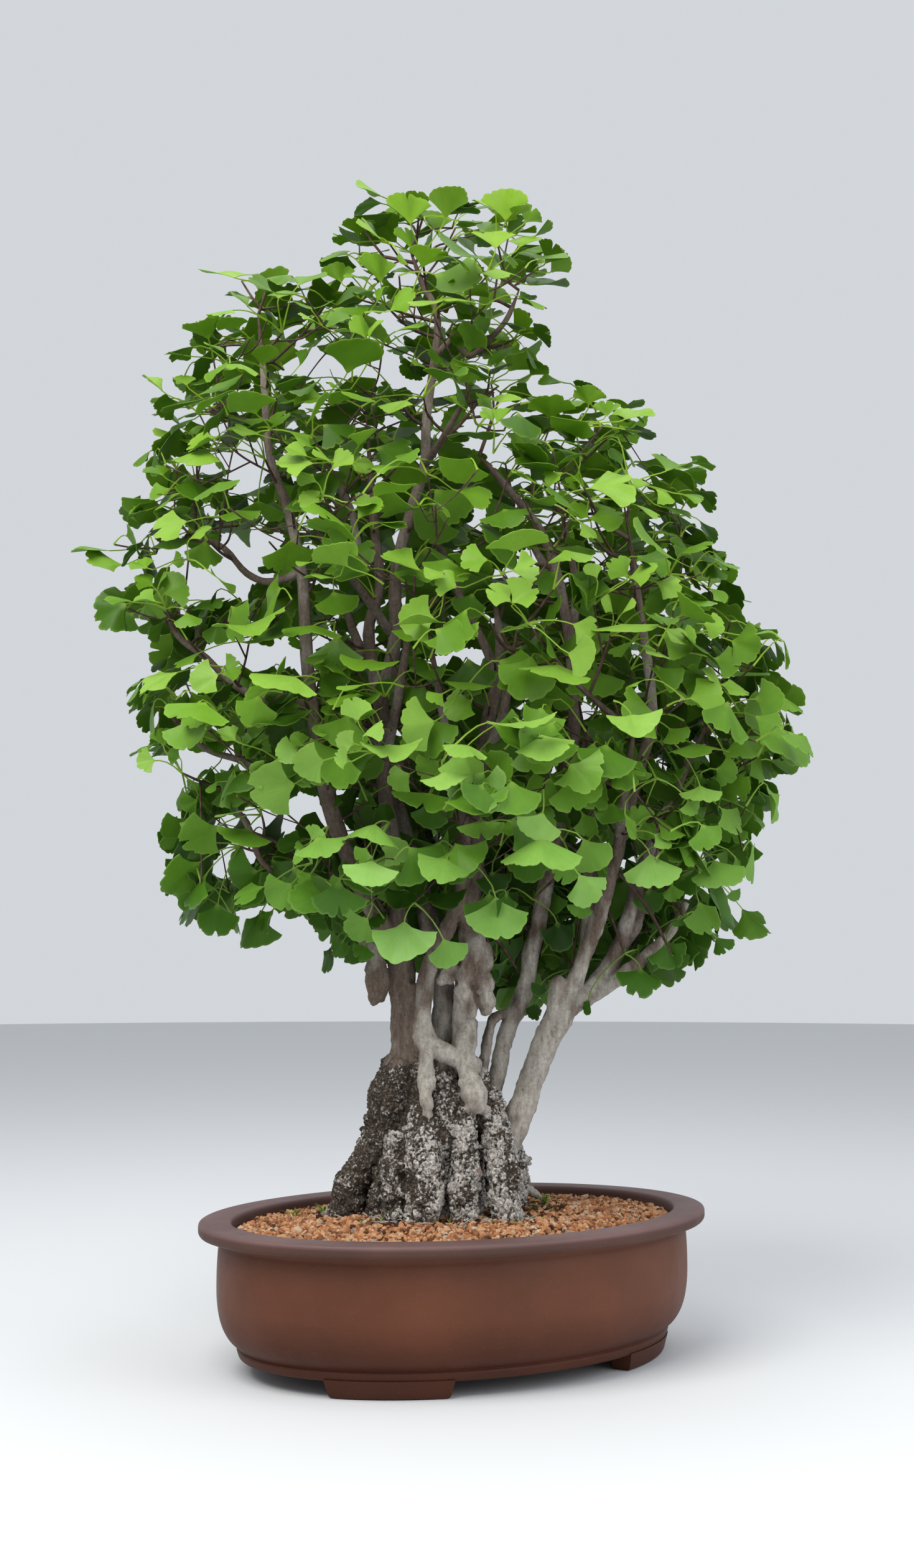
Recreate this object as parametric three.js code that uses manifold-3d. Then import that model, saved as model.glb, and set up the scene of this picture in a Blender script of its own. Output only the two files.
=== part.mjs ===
// Ginkgo bonsai in its unglazed oval pot.
// Millimetres, +Z up, +X along the pot's long axis. The origin lies on the surface that the
// pot's feet stand on, under the middle of the whole plant's plan outline.
import * as THREE from 'three';
import { mergeVertices } from 'three/addons/utils/BufferGeometryUtils.js';
import Module from 'manifold-3d';

const wasm = await Module();
wasm.setup();

// ---- Driving dimensions -------------------------------------------------------------------

const GAP = 0.3; // clearance kept between pieces that touch

// Pot. An inset is measured inwards from the oval of the lip, the same all round.
const LIP_HALF_LENGTH = 213;
const LIP_HALF_WIDTH = 162;
const OVAL_CORE = 150; // ovals with a shorter half length than this draw in towards a circle
const POT_HEIGHT = 113;
const LIP_THICKNESS = 10;
const LIP_INNER_INSET = 25;
const BODY_INSET = 15;
const BAND_INSET = 31;
const BAND_HEIGHT = 7;
const CAVITY_INSET = 31;
const FOOT_HEIGHT = 12;
const FOOT_INSET = 31;
const FOOT_DEPTH = 17;
const FOOT_SPLAY = 3;
const FOOT_ANGLE = 47; // degrees round the oval, from the long axis
const FOOT_HALF_SPAN = 17; // degrees
const FOOT_END_SLOPE = 0.93; // length of a foot's sole, as a part of its top
const FLOOR_THICKNESS = 11;
const POT_SEGMENTS = 40;

// The pot's centre, from the middle of the plant's plan outline.
const POT_X = 12;
const POT_Y = 11;

// Drainage holes, their screens and the wire staples that hold the screens.
const HOLE_RADIUS = 14;
const HOLE_X = 72;
const SCREEN_LENGTH = 42;
const SCREEN_WIDTH = 34;
const SCREEN_THICKNESS = 1.2;
const MESH_PITCH = 8;
const MESH_OPENING = 5;
const MESH_COLUMNS = 4;
const MESH_ROWS = 3;
const WIRE_RADIUS = 0.75;
const WIRE_BEND = 2.4;
const WIRE_TAIL = 10;
const SCREEN_POCKET_HEIGHT = 5.5;

// Soil surface: low at the wall, mounded to the roots.
const SOIL_EDGE_Z = 106;
const SOIL_CROWN_Z = 114;
const SOIL_MOUND = [[150, 0.35], [95, 0.8], [0, 1]]; // half length, and the part of the rise there

// The tree stands turned about Z, with its front towards one long side and one end of the pot.
const TREE_TURN = 33; // degrees
const ROOT_BALL = { u: -18, v: 4, depth: 58, radius: 50, squeeze: 0.82, foot: 0.7, shoulder: 0.8, top: 12 };
const LOBE_SIDES = 8;
const LIMB_SIDES = 6;

// Foliage.
const TWIG_SIDES = 4;
const TWIG_FOOT_RADIUS = 2.6;
const TWIG_TIP_RADIUS = 1.7;
const TWIG_SAG = 0.06; // as a part of the twig's length
const TWIG_FLOOR = 15; // a twig likes to start at least this far below its tip
const LEAVES_PER_SHOOT = 4;
const STALK_START = 1.9; // from the bud's middle
const PETIOLE_LENGTH = 30;
const PETIOLE_WIDTH = 1.8;
const LEAF_LENGTH = 34;
const LEAF_WIDTH = 54;
const LEAF_THICKNESS = 1.2;
const HUB_LENGTH = 7;
const HUB_RADIUS = 3.2;
const PLACING_TRIES = 14;

// Wild seedlings on the soil.
const WEED_STEM_RADIUS = 0.8;
const WEED_BLADE_LENGTH = 10;
const WEED_BLADE_WIDTH = 3;
const WEED_BLADE_THICKNESS = 0.8;
const WEED_RISE = 0.9; // how steeply its blades rise
const WEEDS = [
  { name: 'weed_left', u: -130, v: 2, height: 6, blades: 4 },
  { name: 'weed_by_root', u: -108, v: 20, height: 7, blades: 4 },
  { name: 'weed_right', u: 70, v: 50, height: 5, blades: 5 },
];

// Limbs as lists of [u, v, z, radius]: u to the right and v away, both in the tree's own front
// view, and z up from the feet.
const ROOT_LOBES = [
  // core
  [[-18, 4, 100, 42], [-18, 4, 150, 38], [-14, 3, 190, 38], [-18, 2, 218, 27], [-18, 2, 240, 19]],
  // left sloping root and its foot
  [[-38, 2, 228, 21], [-50, 0, 200, 22], [-54, -1, 176, 18.5], [-70, -3, 153, 15.5], [-85, -6, 132, 14.5],
    [-89, -6, 100, 14]],
  // in the hollow behind the first of the front lobes
  [[-48, -10, 172, 10], [-56, -16, 148, 8], [-62, -22, 126, 8], [-64, -24, 100, 8]],
  // front lobes, from left to right
  [[-46, -20, 172, 12], [-48, -34, 146, 10], [-50, -41, 122, 9], [-50, -43, 100, 10]],
  [[-26, -14, 200, 12], [-27, -30, 178, 14], [-27, -40, 154, 15.5], [-26, -46, 130, 14], [-29, -50, 112, 13],
    [-29, -50, 100, 12]],
  [[2, -14, 202, 11], [5, -30, 178, 10], [6, -38, 154, 9.5], [4, -44, 130, 10.5], [6, -46, 100, 10]],
  [[12, -2, 222, 12], [18, -6, 205, 13], [24, -14, 188, 13], [31, -22, 168, 13], [35, -29, 145, 13],
    [35, -31, 122, 13], [39, -34, 100, 13]],
  // right and back
  [[18, 12, 200, 12], [30, 16, 172, 14], [41, 20, 150, 14], [42, 22, 125, 13], [43, 24, 100, 13]],
  [[0, 26, 205, 14], [10, 40, 165, 16], [12, 48, 125, 15], [12, 50, 100, 15]],
  [[-26, 24, 205, 18], [-28, 42, 165, 18], [-30, 52, 130, 17], [-30, 54, 100, 16]],
  [[-50, 18, 205, 17], [-64, 32, 160, 15], [-74, 38, 125, 13], [-76, 40, 100, 12]],
];
const BURLS = [
  // bark that flows from the slim stem over the top of the base
  [[-29, -14, 254, 8], [-24, -17, 245, 8], [-14, -18, 239, 8.5], [-4, -19, 235, 8.5], [5, -17, 231, 9],
    [12, -12, 226, 9]],
  [[7, -8, 264, 8], [6, -11, 253, 9], [4, -14, 243, 9.5], [1, -17, 234, 9]],
  // the two that hang from it
  [[-25, -17, 244, 6.4], [-25, -25, 233, 5.4], [-25, -30, 224, 6], [-25.5, -35, 214, 6.8],
    [-25.5, -37, 207, 5], [-25, -38, 202, 5.2], [-24.5, -38, 197, 3.4], [-24.5, -38, 192, 3.6],
    [-24.5, -37, 188, 2]],
  [[-2, -18, 236, 6], [2, -21, 231, 6.6], [6, -25, 223, 6.4], [9, -28, 216, 8.4], [11.5, -31, 208, 10],
    [14, -32, 200, 8.2], [15.5, -32, 192, 4]],
  // left burl, a drop against the leader
  [[-78, -10, 328, 3], [-71, -9, 320, 5], [-67, -8, 311, 7], [-65.5, -8, 303, 8.4], [-65, -9, 294, 9.6],
    [-64.5, -8, 286, 8], [-64, -8, 278, 4.6]],
  // the small knob and the two tips of the big burl
  [[-1, -12, 306, 6], [-8, -15, 299, 6.2], [-10, -16, 293, 4.6]],
  [[10, -8, 338, 9], [12, -13, 326, 9.5], [11.5, -17, 315, 9.4], [8, -17, 307, 7], [6, -18, 299, 8.6],
    [5.5, -17, 292, 6.4], [5.5, -17, 285, 7.6], [8, -17, 279, 5.8], [9, -16, 273, 6.4], [10, -16, 266, 3.4]],
  [[16, -9, 322, 9], [18, -13, 310, 9.4], [17, -15, 301, 7.4], [20, -16, 292, 8.4], [20, -15, 285, 6.4],
    [22, -14, 278, 7], [22, -13, 272, 4.8], [22.5, -13, 268, 3.2]],
];
const LIMBS = [
  // leader
  [[-36, 2, 216, 18], [-40, 1, 234, 15.5], [-42, 1, 250, 12.4], [-43, 2, 264, 11], [-45, 1, 284, 10.5],
    [-46, 0, 312, 11], [-50, 0, 345, 8.5], [-51, 0, 386, 7.5], [-60, -2, 456, 6.5], [-62, -2, 516, 6],
    [-52, 0, 566, 5.5], [-51, 2, 626, 5], [-40, 4, 672, 4.6], [-28, 4, 714, 4.2], [-26, 2, 756, 3.8],
    [-17, 0, 832, 3], [-30, 2, 866, 2.6], [-40, 2, 894, 2]],
  // the web between the leader and the slim stem
  [[-33, -2, 214, 14], [-32, -5, 238, 11], [-34, -6, 256, 9], [-36, -6, 274, 6.5], [-36, -6, 292, 4]],
  // left stem, out of the leader
  [[-46, 0, 300, 9], [-52, -5, 322, 8], [-66, -14, 348, 7.5], [-85, -24, 386, 7], [-105, -30, 446, 6.2],
    [-119, -34, 536, 5.2], [-124, -32, 612, 4.6], [-136, -28, 668, 4], [-152, -24, 716, 3.5],
    [-158, -14, 782, 3], [-164, -6, 836, 2.2]],
  // slim front stem that crosses the burl stem
  [[-12, -8, 226, 10], [-21, -12, 240, 9], [-27, -13, 252, 8], [-29, -16, 266, 7.2], [-27.5, -15, 282, 6.8],
    [-25, -14, 298, 6.6], [-20, -14, 314, 6.2], [-9, -16, 336, 5.8], [1, -18, 360, 5.2], [6, -24, 392, 4.6],
    [2, -36, 440, 4], [-12, -56, 500, 3.2], [-22, -84, 560, 2.4]],
  // centre stem, behind
  [[-16, 10, 236, 13], [-14, 9, 256, 9], [-12, 8, 280, 9], [-16, 13, 306, 9], [-30, 20, 366, 7.5],
    [-50, 28, 436, 6.5], [-62, 36, 506, 6], [-75, 46, 580, 5], [-66, 50, 622, 4.5], [-71, 52, 676, 4],
    [-78, 52, 770, 2.2]],
  // burl stem
  [[0, -2, 222, 13], [3.6, -6, 245, 9.6], [4, -7, 266, 9.4], [7, -8, 290, 10], [11, -8, 322, 11],
    [8, -8, 350, 9], [12, -10, 380, 8], [15, -14, 426, 7.5], [23, -24, 498, 6], [31, -30, 530, 5],
    [33, -42, 560, 4], [27, -56, 600, 2.6]],
  // right stem, behind
  [[18, 10, 182, 12], [28, 12, 204, 7], [34, 14, 232, 6.6], [38, 15, 248, 6.8], [43, 17, 262, 7],
    [51, 19, 280, 7.2], [56, 20, 296, 6.8], [59, 22, 318, 7], [64, 23, 336, 6.6], [69, 25, 360, 6.4],
    [76, 27, 392, 6.2], [87, 30, 442, 6], [96, 34, 512, 5.6], [90, 38, 590, 5], [72, 40, 660, 4],
    [38, 22, 702, 3.4], [17, 14, 724, 2.6]],
  // thin stem between them
  [[16, 10, 214, 5], [21, 12, 232, 3.6], [24, 13, 250, 3.4], [28, 14, 263, 3.4], [38, 16, 268, 3.6],
    [45, 17, 270, 4]],
  // leaning right stem
  [[34, 2, 160, 13], [43, 3, 178, 12], [50, 3, 192, 11], [57, 2, 212, 10], [66, 1, 236, 10],
    [74, 0, 254, 10.6], [82, -2, 270, 11], [88, -3, 284, 8.5], [95, -4, 300, 6.6], [101, -5, 317, 6],
    [108, -8, 334, 5.8], [114, -12, 352, 5.4], [126, -20, 396, 5], [146, -26, 470, 4.6], [154, -29, 510, 4.2],
    [142, -34, 600, 3.6], [134, -38, 655, 2.6]],
  // its rounded stub
  [[76, -3, 258, 8], [77.5, -5, 274, 7], [78.5, -6, 287, 6.4], [79.5, -6.5, 294, 5.6]],
  [[97, -4, 304, 5], [101, -2, 320, 5], [104, 1, 346, 5], [106, 4, 400, 4.6], [112, 10, 460, 3.4]],
  [[86, -2, 272, 9], [103, 1, 284, 7.6], [116, 4, 299, 7], [128, 6, 318, 6.4], [135, 8, 338, 6],
    [141, 9, 358, 5.6], [150, 10, 388, 5.2], [168, 12, 430, 4.6], [206, 10, 510, 3]],
  [[98, 0, 278, 6.5], [115, 0, 288, 6], [128, -1, 297, 5.4], [141, -2, 307, 5], [151, -2, 315, 4.6],
    [159, -2, 322, 4.2], [167, -3, 331, 3.6], [174, -3, 341, 3], [182, -4, 356, 2.2]],
  [[127, 5, 314, 4.6], [137, 10, 328, 4.2], [146, 14, 344, 4], [156, 20, 380, 3.4], [170, 34, 430, 2.4]],
  // twigs seen against the light between the stems
  [[46, 17, 276, 3.6], [38, 16, 290, 3], [36, 16, 307, 2.8], [39, 18, 322, 2.4], [44, 26, 348, 2]],
  [[42, 18, 248, 3.8], [56, 20, 262, 3.4], [68, 22, 276, 3.2], [74, 24, 292, 2.8], [90, 30, 326, 2.2]],
  // low left, above the burl
  [[-50, -2, 312, 4.6], [-62, -6, 316, 3.8], [-76, -12, 322, 3.2], [-92, -18, 326, 2.4]],
  [[-76, -20, 356, 4.2], [-108, -26, 352, 3.8], [-124, -26, 362, 3.6], [-144, -24, 378, 3.2],
    [-158, -22, 392, 3], [-168, -20, 418, 2.6], [-190, -18, 448, 2]],
  [[-113, -31, 486, 3.8], [-140, -28, 466, 3.2], [-156, -24, 460, 3], [-176, -20, 470, 2.6],
    [-200, -16, 478, 2.4], [-222, -12, 496, 2]],
  [[-119, -33, 512, 4.2], [-152, -30, 516, 3.6], [-180, -24, 530, 3.2], [-202, -18, 552, 2.8],
    [-225, -14, 570, 2.6], [-246, -10, 606, 2]],
  [[-126, -31, 618, 3.8], [-150, -26, 612, 3], [-170, -20, 620, 2.8], [-196, -12, 646, 2.4],
    [-240, -8, 650, 2]],
  // top right fork
  [[-18, 0, 806, 3.2], [-4, 4, 818, 2.8], [9, 6, 806, 2.6], [27, 8, 822, 2.4], [40, 8, 838, 2.2],
    [50, 8, 862, 2]],
  // forks of the front branches, seen between the leaves
  [[-86, -44, 617, 3.4], [-80, -46, 634, 3.2], [-82, -48, 650, 3], [-86, -50, 668, 2.8], [-98, -54, 688, 2.6],
    [-104, -56, 700, 2]],
  [[31, -32, 536, 4], [18, -30, 566, 3.4], [4, -32, 592, 3], [-6, -38, 617, 2.8], [-12, -42, 632, 2.6],
    [-24, -46, 646, 2.4], [-30, -48, 652, 2]],
  [[92, 36, 560, 4], [96, 20, 600, 3.4], [94, 10, 630, 3], [88, 4, 655, 2.6], [84, 0, 672, 2.2]],
  // to the back
  [[-56, 4, 430, 5], [-50, 30, 460, 4], [-40, 62, 500, 3.4], [-24, 96, 545, 2.4]],
  [[86, 30, 440, 5], [100, 60, 470, 4], [120, 88, 530, 2.6]],
  [[-68, 42, 540, 4.5], [-90, 70, 590, 3.6], [-108, 96, 660, 2.4]],
  [[80, 40, 625, 4], [66, 66, 655, 3.2], [48, 92, 700, 2.2]],
  // to the front
  [[20, -20, 470, 5], [34, -56, 500, 4], [44, -92, 560, 2.6]],
  [[-60, -2, 470, 5], [-48, -40, 515, 4], [-34, -86, 590, 2.6]],
  [[-55, 0, 575, 4], [-79, -30, 606, 3.4], [-97, -56, 626, 3], [-118, -78, 654, 2.4]],
  [[124, -18, 390, 5], [128, -54, 430, 4], [136, -84, 500, 2.6]],
  [[-28, 4, 714, 4], [-10, -36, 730, 3], [10, -64, 760, 2.2]],
];

// The middle of each leafy shoot, [u, v, z], from the top of the crown down.
const SHOOTS = [
  [-66, 2, 908], [-6, -24, 896], [46, 12, 890], [-178, 6, 862], [92, -6, 862], [-112, -14, 846],
  [-34, 56, 850], [22, -58, 826], [-206, -14, 786], [-58, -72, 806], [-140, 52, 800], [104, 4, 752],
  [-130, -80, 764], [-200, 40, 724], [26, -74, 726], [136, 46, 706], [-52, -122, 714], [82, -84, 690],
  [-222, -50, 676], [-122, 112, 706], [164, -34, 672], [-142, -112, 668], [-276, -8, 640],
  [22, 120, 672], [196, 56, 626], [24, -128, 640], [-188, 74, 606], [118, -112, 622], [-72, -136, 604],
  [-246, -34, 580], [218, -24, 572], [104, 124, 590], [-24, 134, 590], [60, -134, 548],
  [168, -104, 552], [-152, -92, 566], [-236, 26, 512], [252.5, 12, 506], [-20, -130, 498],
  [196, -84, 464], [96, -122, 464], [-104, -104, 476], [40, 118, 460], [-222, -22, 420],
  [214, -20, 386], [-52, -92, 396], [60, 64, 318], [140, 60, 320], [-190, -30, 372], [-150, -40, 370],
];

// ---- Solid helpers ------------------------------------------------------------------------

/** A seeded random number generator, so that every build gives the same foliage. */
function seededRandom(seed) {
  let state = seed;
  return () => {
    state = (state + 0x6d2b79f5) | 0;
    let mixed = Math.imul(state ^ (state >>> 15), 1 | state);
    mixed = (mixed + Math.imul(mixed ^ (mixed >>> 7), 61 | mixed)) ^ mixed;
    return ((mixed ^ (mixed >>> 14)) >>> 0) / 4294967296;
  };
}

/** Turns a closed three.js geometry into a solid with outward faces. */
function solidOf(geometry) {
  const bare = geometry.clone();
  for (const name of Object.keys(bare.attributes)) {
    if (name !== 'position') bare.deleteAttribute(name);
  }
  const merged = mergeVertices(bare, 1e-4);
  const index = merged.index.array;
  const corner = [new THREE.Vector3(), new THREE.Vector3(), new THREE.Vector3()];
  const triangles = [];
  let volume = 0;
  for (let i = 0; i < index.length; i += 3) {
    const [a, b, c] = [index[i], index[i + 1], index[i + 2]];
    if (a === b || b === c || c === a) continue;
    triangles.push([a, b, c]);
    corner.forEach((point, k) => point.fromBufferAttribute(merged.attributes.position, index[i + k]));
    volume += corner[0].dot(corner[1].clone().cross(corner[2]));
  }
  const outward = volume > 0 ? triangles : triangles.map(([a, b, c]) => [a, c, b]);
  return new wasm.Manifold(new wasm.Mesh({
    numProp: 3,
    vertProperties: new Float32Array(merged.attributes.position.array),
    triVerts: new Uint32Array(outward.flat()),
  }));
}

function geometryOf(solid) {
  const mesh = solid.getMesh();
  const geometry = new THREE.BufferGeometry();
  geometry.setAttribute('position', new THREE.BufferAttribute(new Float32Array(mesh.vertProperties), 3));
  geometry.setIndex(new THREE.BufferAttribute(new Uint32Array(mesh.triVerts), 1));
  geometry.computeVertexNormals();
  return geometry;
}

const unite = (solids) => solids.reduce((whole, next) => whole.add(next));
const overlaps = (one, other) => !one.intersect(other).isEmpty();

/** Moves every vertex of a geometry with a function that edits a Vector3 in place. */
function reshape(geometry, move) {
  const position = geometry.attributes.position;
  const point = new THREE.Vector3();
  for (let i = 0; i < position.count; i += 1) {
    move(point.fromBufferAttribute(position, i));
    position.setXYZ(i, point.x, point.y, point.z);
  }
  return geometry;
}

// ---- Pot and soil -------------------------------------------------------------------------

/** Half width of the oval whose half length is given: the walls keep one inset all round. */
function halfWidth(halfLength) {
  const difference = LIP_HALF_LENGTH - LIP_HALF_WIDTH;
  return halfLength - difference * Math.min(1, halfLength / OVAL_CORE);
}

/** A solid of oval rings. The profile is a list of [half length, z], from axis to axis. */
function ovalSolid(profile) {
  const lathe = new THREE.LatheGeometry(profile.map(([r, z]) => new THREE.Vector2(r, z)), POT_SEGMENTS);
  return solidOf(reshape(lathe, (point) => {
    const radius = Math.hypot(point.x, point.z);
    const angle = Math.atan2(point.x, point.z);
    const height = point.y;
    point.set(POT_X + radius * Math.cos(angle), POT_Y + halfWidth(radius) * Math.sin(angle), height);
  }));
}

function footSolid(signX, signY) {
  const middle = Math.atan2(signY * Math.sin(THREE.MathUtils.degToRad(FOOT_ANGLE)),
    signX * Math.cos(THREE.MathUtils.degToRad(FOOT_ANGLE)));
  const halfSpan = THREE.MathUtils.degToRad(FOOT_HALF_SPAN);
  const block = new THREE.BoxGeometry(2, 1, 1, 6, 1, 1);
  return solidOf(reshape(block, (point) => {
    const up = point.z + 0.5;
    const angle = middle + halfSpan * point.x * THREE.MathUtils.lerp(FOOT_END_SLOPE, 1, up);
    const inset = FOOT_INSET + FOOT_SPLAY * (1 - up) + FOOT_DEPTH * (point.y + 0.5);
    point.set(POT_X + (LIP_HALF_LENGTH - inset) * Math.cos(angle),
      POT_Y + (LIP_HALF_WIDTH - inset) * Math.sin(angle), up * (FOOT_HEIGHT + 1));
  }));
}

function drainageHole(x) {
  const drill = new THREE.CylinderGeometry(HOLE_RADIUS, HOLE_RADIUS, 3 * FLOOR_THICKNESS, 20);
  return solidOf(drill.rotateX(Math.PI / 2).translate(POT_X + x, POT_Y, FOOT_HEIGHT + FLOOR_THICKNESS / 2));
}

const floorTop = FOOT_HEIGHT + FLOOR_THICKNESS;
const bandTop = FOOT_HEIGHT + BAND_HEIGHT;
const lipBottom = POT_HEIGHT - LIP_THICKNESS;

function potSolid() {
  const at = (inset, z) => [LIP_HALF_LENGTH - inset, z];
  const body = ovalSolid([
    [0, FOOT_HEIGHT],
    at(BAND_INSET + 1, FOOT_HEIGHT),
    at(BAND_INSET, FOOT_HEIGHT + 1),
    at(BAND_INSET, bandTop - 1),
    at(BAND_INSET + 1, bandTop + 1),
    at(BODY_INSET + 8, bandTop + 12),
    at(BODY_INSET + 3, bandTop + 24),
    at(BODY_INSET, bandTop + 40),
    at(BODY_INSET + 1, lipBottom - 3),
    at(BODY_INSET - 2, lipBottom - 1),
    at(2, lipBottom),
    at(0, lipBottom + 3),
    at(0, POT_HEIGHT - 3),
    at(2, POT_HEIGHT),
    at(LIP_INNER_INSET - 1, POT_HEIGHT),
    at(LIP_INNER_INSET + 1, POT_HEIGHT - 3),
    at(CAVITY_INSET, floorTop),
    [0, floorTop],
  ]);
  const corners = [[1, 1], [-1, 1], [-1, -1], [1, -1]];
  const standing = unite([body, ...corners.map(([x, y]) => footSolid(x, y))]);
  return [HOLE_X, -HOLE_X].reduce((pot, x) => pot.subtract(drainageHole(x)), standing);
}

/** The soil's outer shape, raised by the given clearance. */
function soilMound(clearance) {
  const wall = (z) => {
    const rise = (z - floorTop) / (POT_HEIGHT - 3 - floorTop);
    return LIP_HALF_LENGTH - THREE.MathUtils.lerp(CAVITY_INSET, LIP_INNER_INSET + 1, rise) - 2 * GAP;
  };
  return ovalSolid([
    [0, floorTop + GAP],
    [wall(floorTop), floorTop + GAP],
    [wall(SOIL_EDGE_Z), SOIL_EDGE_Z + clearance],
    ...SOIL_MOUND.map(([r, rise]) => [r, THREE.MathUtils.lerp(SOIL_EDGE_Z, SOIL_CROWN_Z, rise) + clearance]),
  ]);
}

/** The height of the soil's surface at a place. */
function soilHeight(x, y) {
  let [inner, outer] = [1, LIP_HALF_LENGTH];
  for (let halving = 0; halving < 12; halving += 1) {
    const middle = (inner + outer) / 2;
    const beyond = Math.hypot((x - POT_X) / middle, (y - POT_Y) / halfWidth(middle)) > 1;
    if (beyond) inner = middle;
    else outer = middle;
  }
  const rings = [[LIP_HALF_LENGTH - LIP_INNER_INSET, 0], ...SOIL_MOUND];
  const ring = rings.findIndex(([r], i) => i > 0 && r <= outer);
  const [[far, low], [near, high]] = [rings[ring - 1], rings[ring]];
  const rise = THREE.MathUtils.mapLinear(outer, far, near, low, high);
  return THREE.MathUtils.lerp(SOIL_EDGE_Z, SOIL_CROWN_Z, rise);
}

function screenPocket(x) {
  const block = new THREE.BoxGeometry(SCREEN_LENGTH + 4, SCREEN_WIDTH + 4, 2 * SCREEN_POCKET_HEIGHT);
  return solidOf(block.translate(POT_X + x, POT_Y, floorTop));
}

// ---- Drainage screens and wires ---------------------------------------------------------------

function screenGeometry(x) {
  const centre = [POT_X + x, POT_Y, floorTop + GAP + SCREEN_THICKNESS / 2];
  const plate = new THREE.BoxGeometry(SCREEN_LENGTH, SCREEN_WIDTH, SCREEN_THICKNESS);
  let screen = solidOf(plate.translate(...centre));
  for (let column = 0; column < MESH_COLUMNS; column += 1) {
    for (let row = 0; row < MESH_ROWS; row += 1) {
      const opening = new THREE.BoxGeometry(MESH_OPENING, MESH_OPENING, 3 * SCREEN_THICKNESS);
      const right = (column - (MESH_COLUMNS - 1) / 2) * MESH_PITCH;
      const up = (row - (MESH_ROWS - 1) / 2) * MESH_PITCH;
      opening.translate(...centre).translate(right, up, 0);
      screen = screen.subtract(solidOf(opening));
    }
  }
  return geometryOf(screen);
}

/** A staple: its bar lies on the screen, its legs pass the hole, its tails hook under the pot. */
function wireGeometry(x) {
  const legX = ((MESH_COLUMNS - 1) / 2) * MESH_PITCH;
  const top = floorTop + 2 * GAP + SCREEN_THICKNESS + WIRE_RADIUS;
  const bottom = FOOT_HEIGHT - GAP - WIRE_RADIUS;
  const half = [
    [0, top], [legX - WIRE_BEND, top], [legX - 0.3 * WIRE_BEND, top - 0.3 * WIRE_BEND],
    [legX, top - WIRE_BEND], [legX, bottom + WIRE_BEND], [legX + 0.3 * WIRE_BEND, bottom + 0.3 * WIRE_BEND],
    [legX + WIRE_BEND, bottom], [legX + WIRE_TAIL, bottom],
  ];
  const left = half.slice(1).reverse().map(([u, z]) => new THREE.Vector3(POT_X + x - u, POT_Y, z));
  const right = half.map(([u, z]) => new THREE.Vector3(POT_X + x + u, POT_Y, z));
  const route = new THREE.CatmullRomCurve3([...left, ...right], false, 'centripetal');
  const section = new THREE.Shape();
  section.absarc(0, 0, WIRE_RADIUS, 0, 2 * Math.PI);
  const options = { steps: 20, bevelEnabled: false, extrudePath: route, curveSegments: 2 };
  return geometryOf(solidOf(new THREE.ExtrudeGeometry(section, options)));
}

// ---- Tree ---------------------------------------------------------------------------------

const upright = new THREE.Vector3(0, 0, 1);
const treeTurn = -THREE.MathUtils.degToRad(TREE_TURN);

/** From the tree's front view (u right, v away, z up) to the part's own frame. */
function turned(u, v, z) {
  return new THREE.Vector3(u, v, z).applyAxisAngle(upright, treeTurn).add(new THREE.Vector3(POT_X, POT_Y, 0));
}

/** The curve through a limb's points, and the limb's radius at a place from 0 to 1 along it. */
function limbCurve(points) {
  const curve = new THREE.CatmullRomCurve3(points.map(([u, v, z]) => turned(u, v, z)), false, 'centripetal');
  const radiusAt = (t) => {
    const place = t * (points.length - 1);
    const first = Math.min(Math.floor(place), points.length - 2);
    return THREE.MathUtils.lerp(points[first][3], points[first + 1][3], place - first);
  };
  return { curve, radiusAt };
}

function limbSolid({ curve, radiusAt }, sides, steps) {
  const chord = curve.getPoint(1).sub(curve.getPoint(0)).normalize();
  const axes = [new THREE.Vector3(1, 0, 0), new THREE.Vector3(0, 1, 0), upright];
  const reference = axes.reduce((best, axis) => (
    Math.abs(axis.dot(chord)) < Math.abs(best.dot(chord)) ? axis : best));
  const tube = new THREE.CylinderGeometry(1, 1, 1, sides, steps);
  return solidOf(reshape(tube, (point) => {
    const t = point.y + 0.5;
    const tangent = curve.getTangent(t);
    const across = reference.clone().addScaledVector(tangent, -reference.dot(tangent)).normalize();
    const along = tangent.clone().cross(across);
    const [x, z] = [point.x * radiusAt(t), point.z * radiusAt(t)];
    point.copy(curve.getPoint(t)).addScaledVector(across, x).addScaledVector(along, z);
  }));
}

/** The mass of roots below the soil's surface, with a clearance all round. */
function rootBall(clearance) {
  const { u, v, depth, radius, squeeze, foot, shoulder, top } = ROOT_BALL;
  const bottom = SOIL_CROWN_Z - depth - clearance;
  const profile = [
    [0, bottom], [foot * radius + clearance, bottom], [radius + clearance, bottom + 0.4 * depth],
    [shoulder * radius + clearance, SOIL_CROWN_Z - 2], [foot * radius, SOIL_CROWN_Z + top],
    [0, SOIL_CROWN_Z + top],
  ];
  const lathe = new THREE.LatheGeometry(profile.map(([r, z]) => new THREE.Vector2(r, z)), 20);
  return solidOf(reshape(lathe, (point) => {
    const place = turned(u + point.x, v + point.z * squeeze, point.y);
    point.copy(place);
  }));
}

const limbCurves = LIMBS.map(limbCurve);

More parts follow.
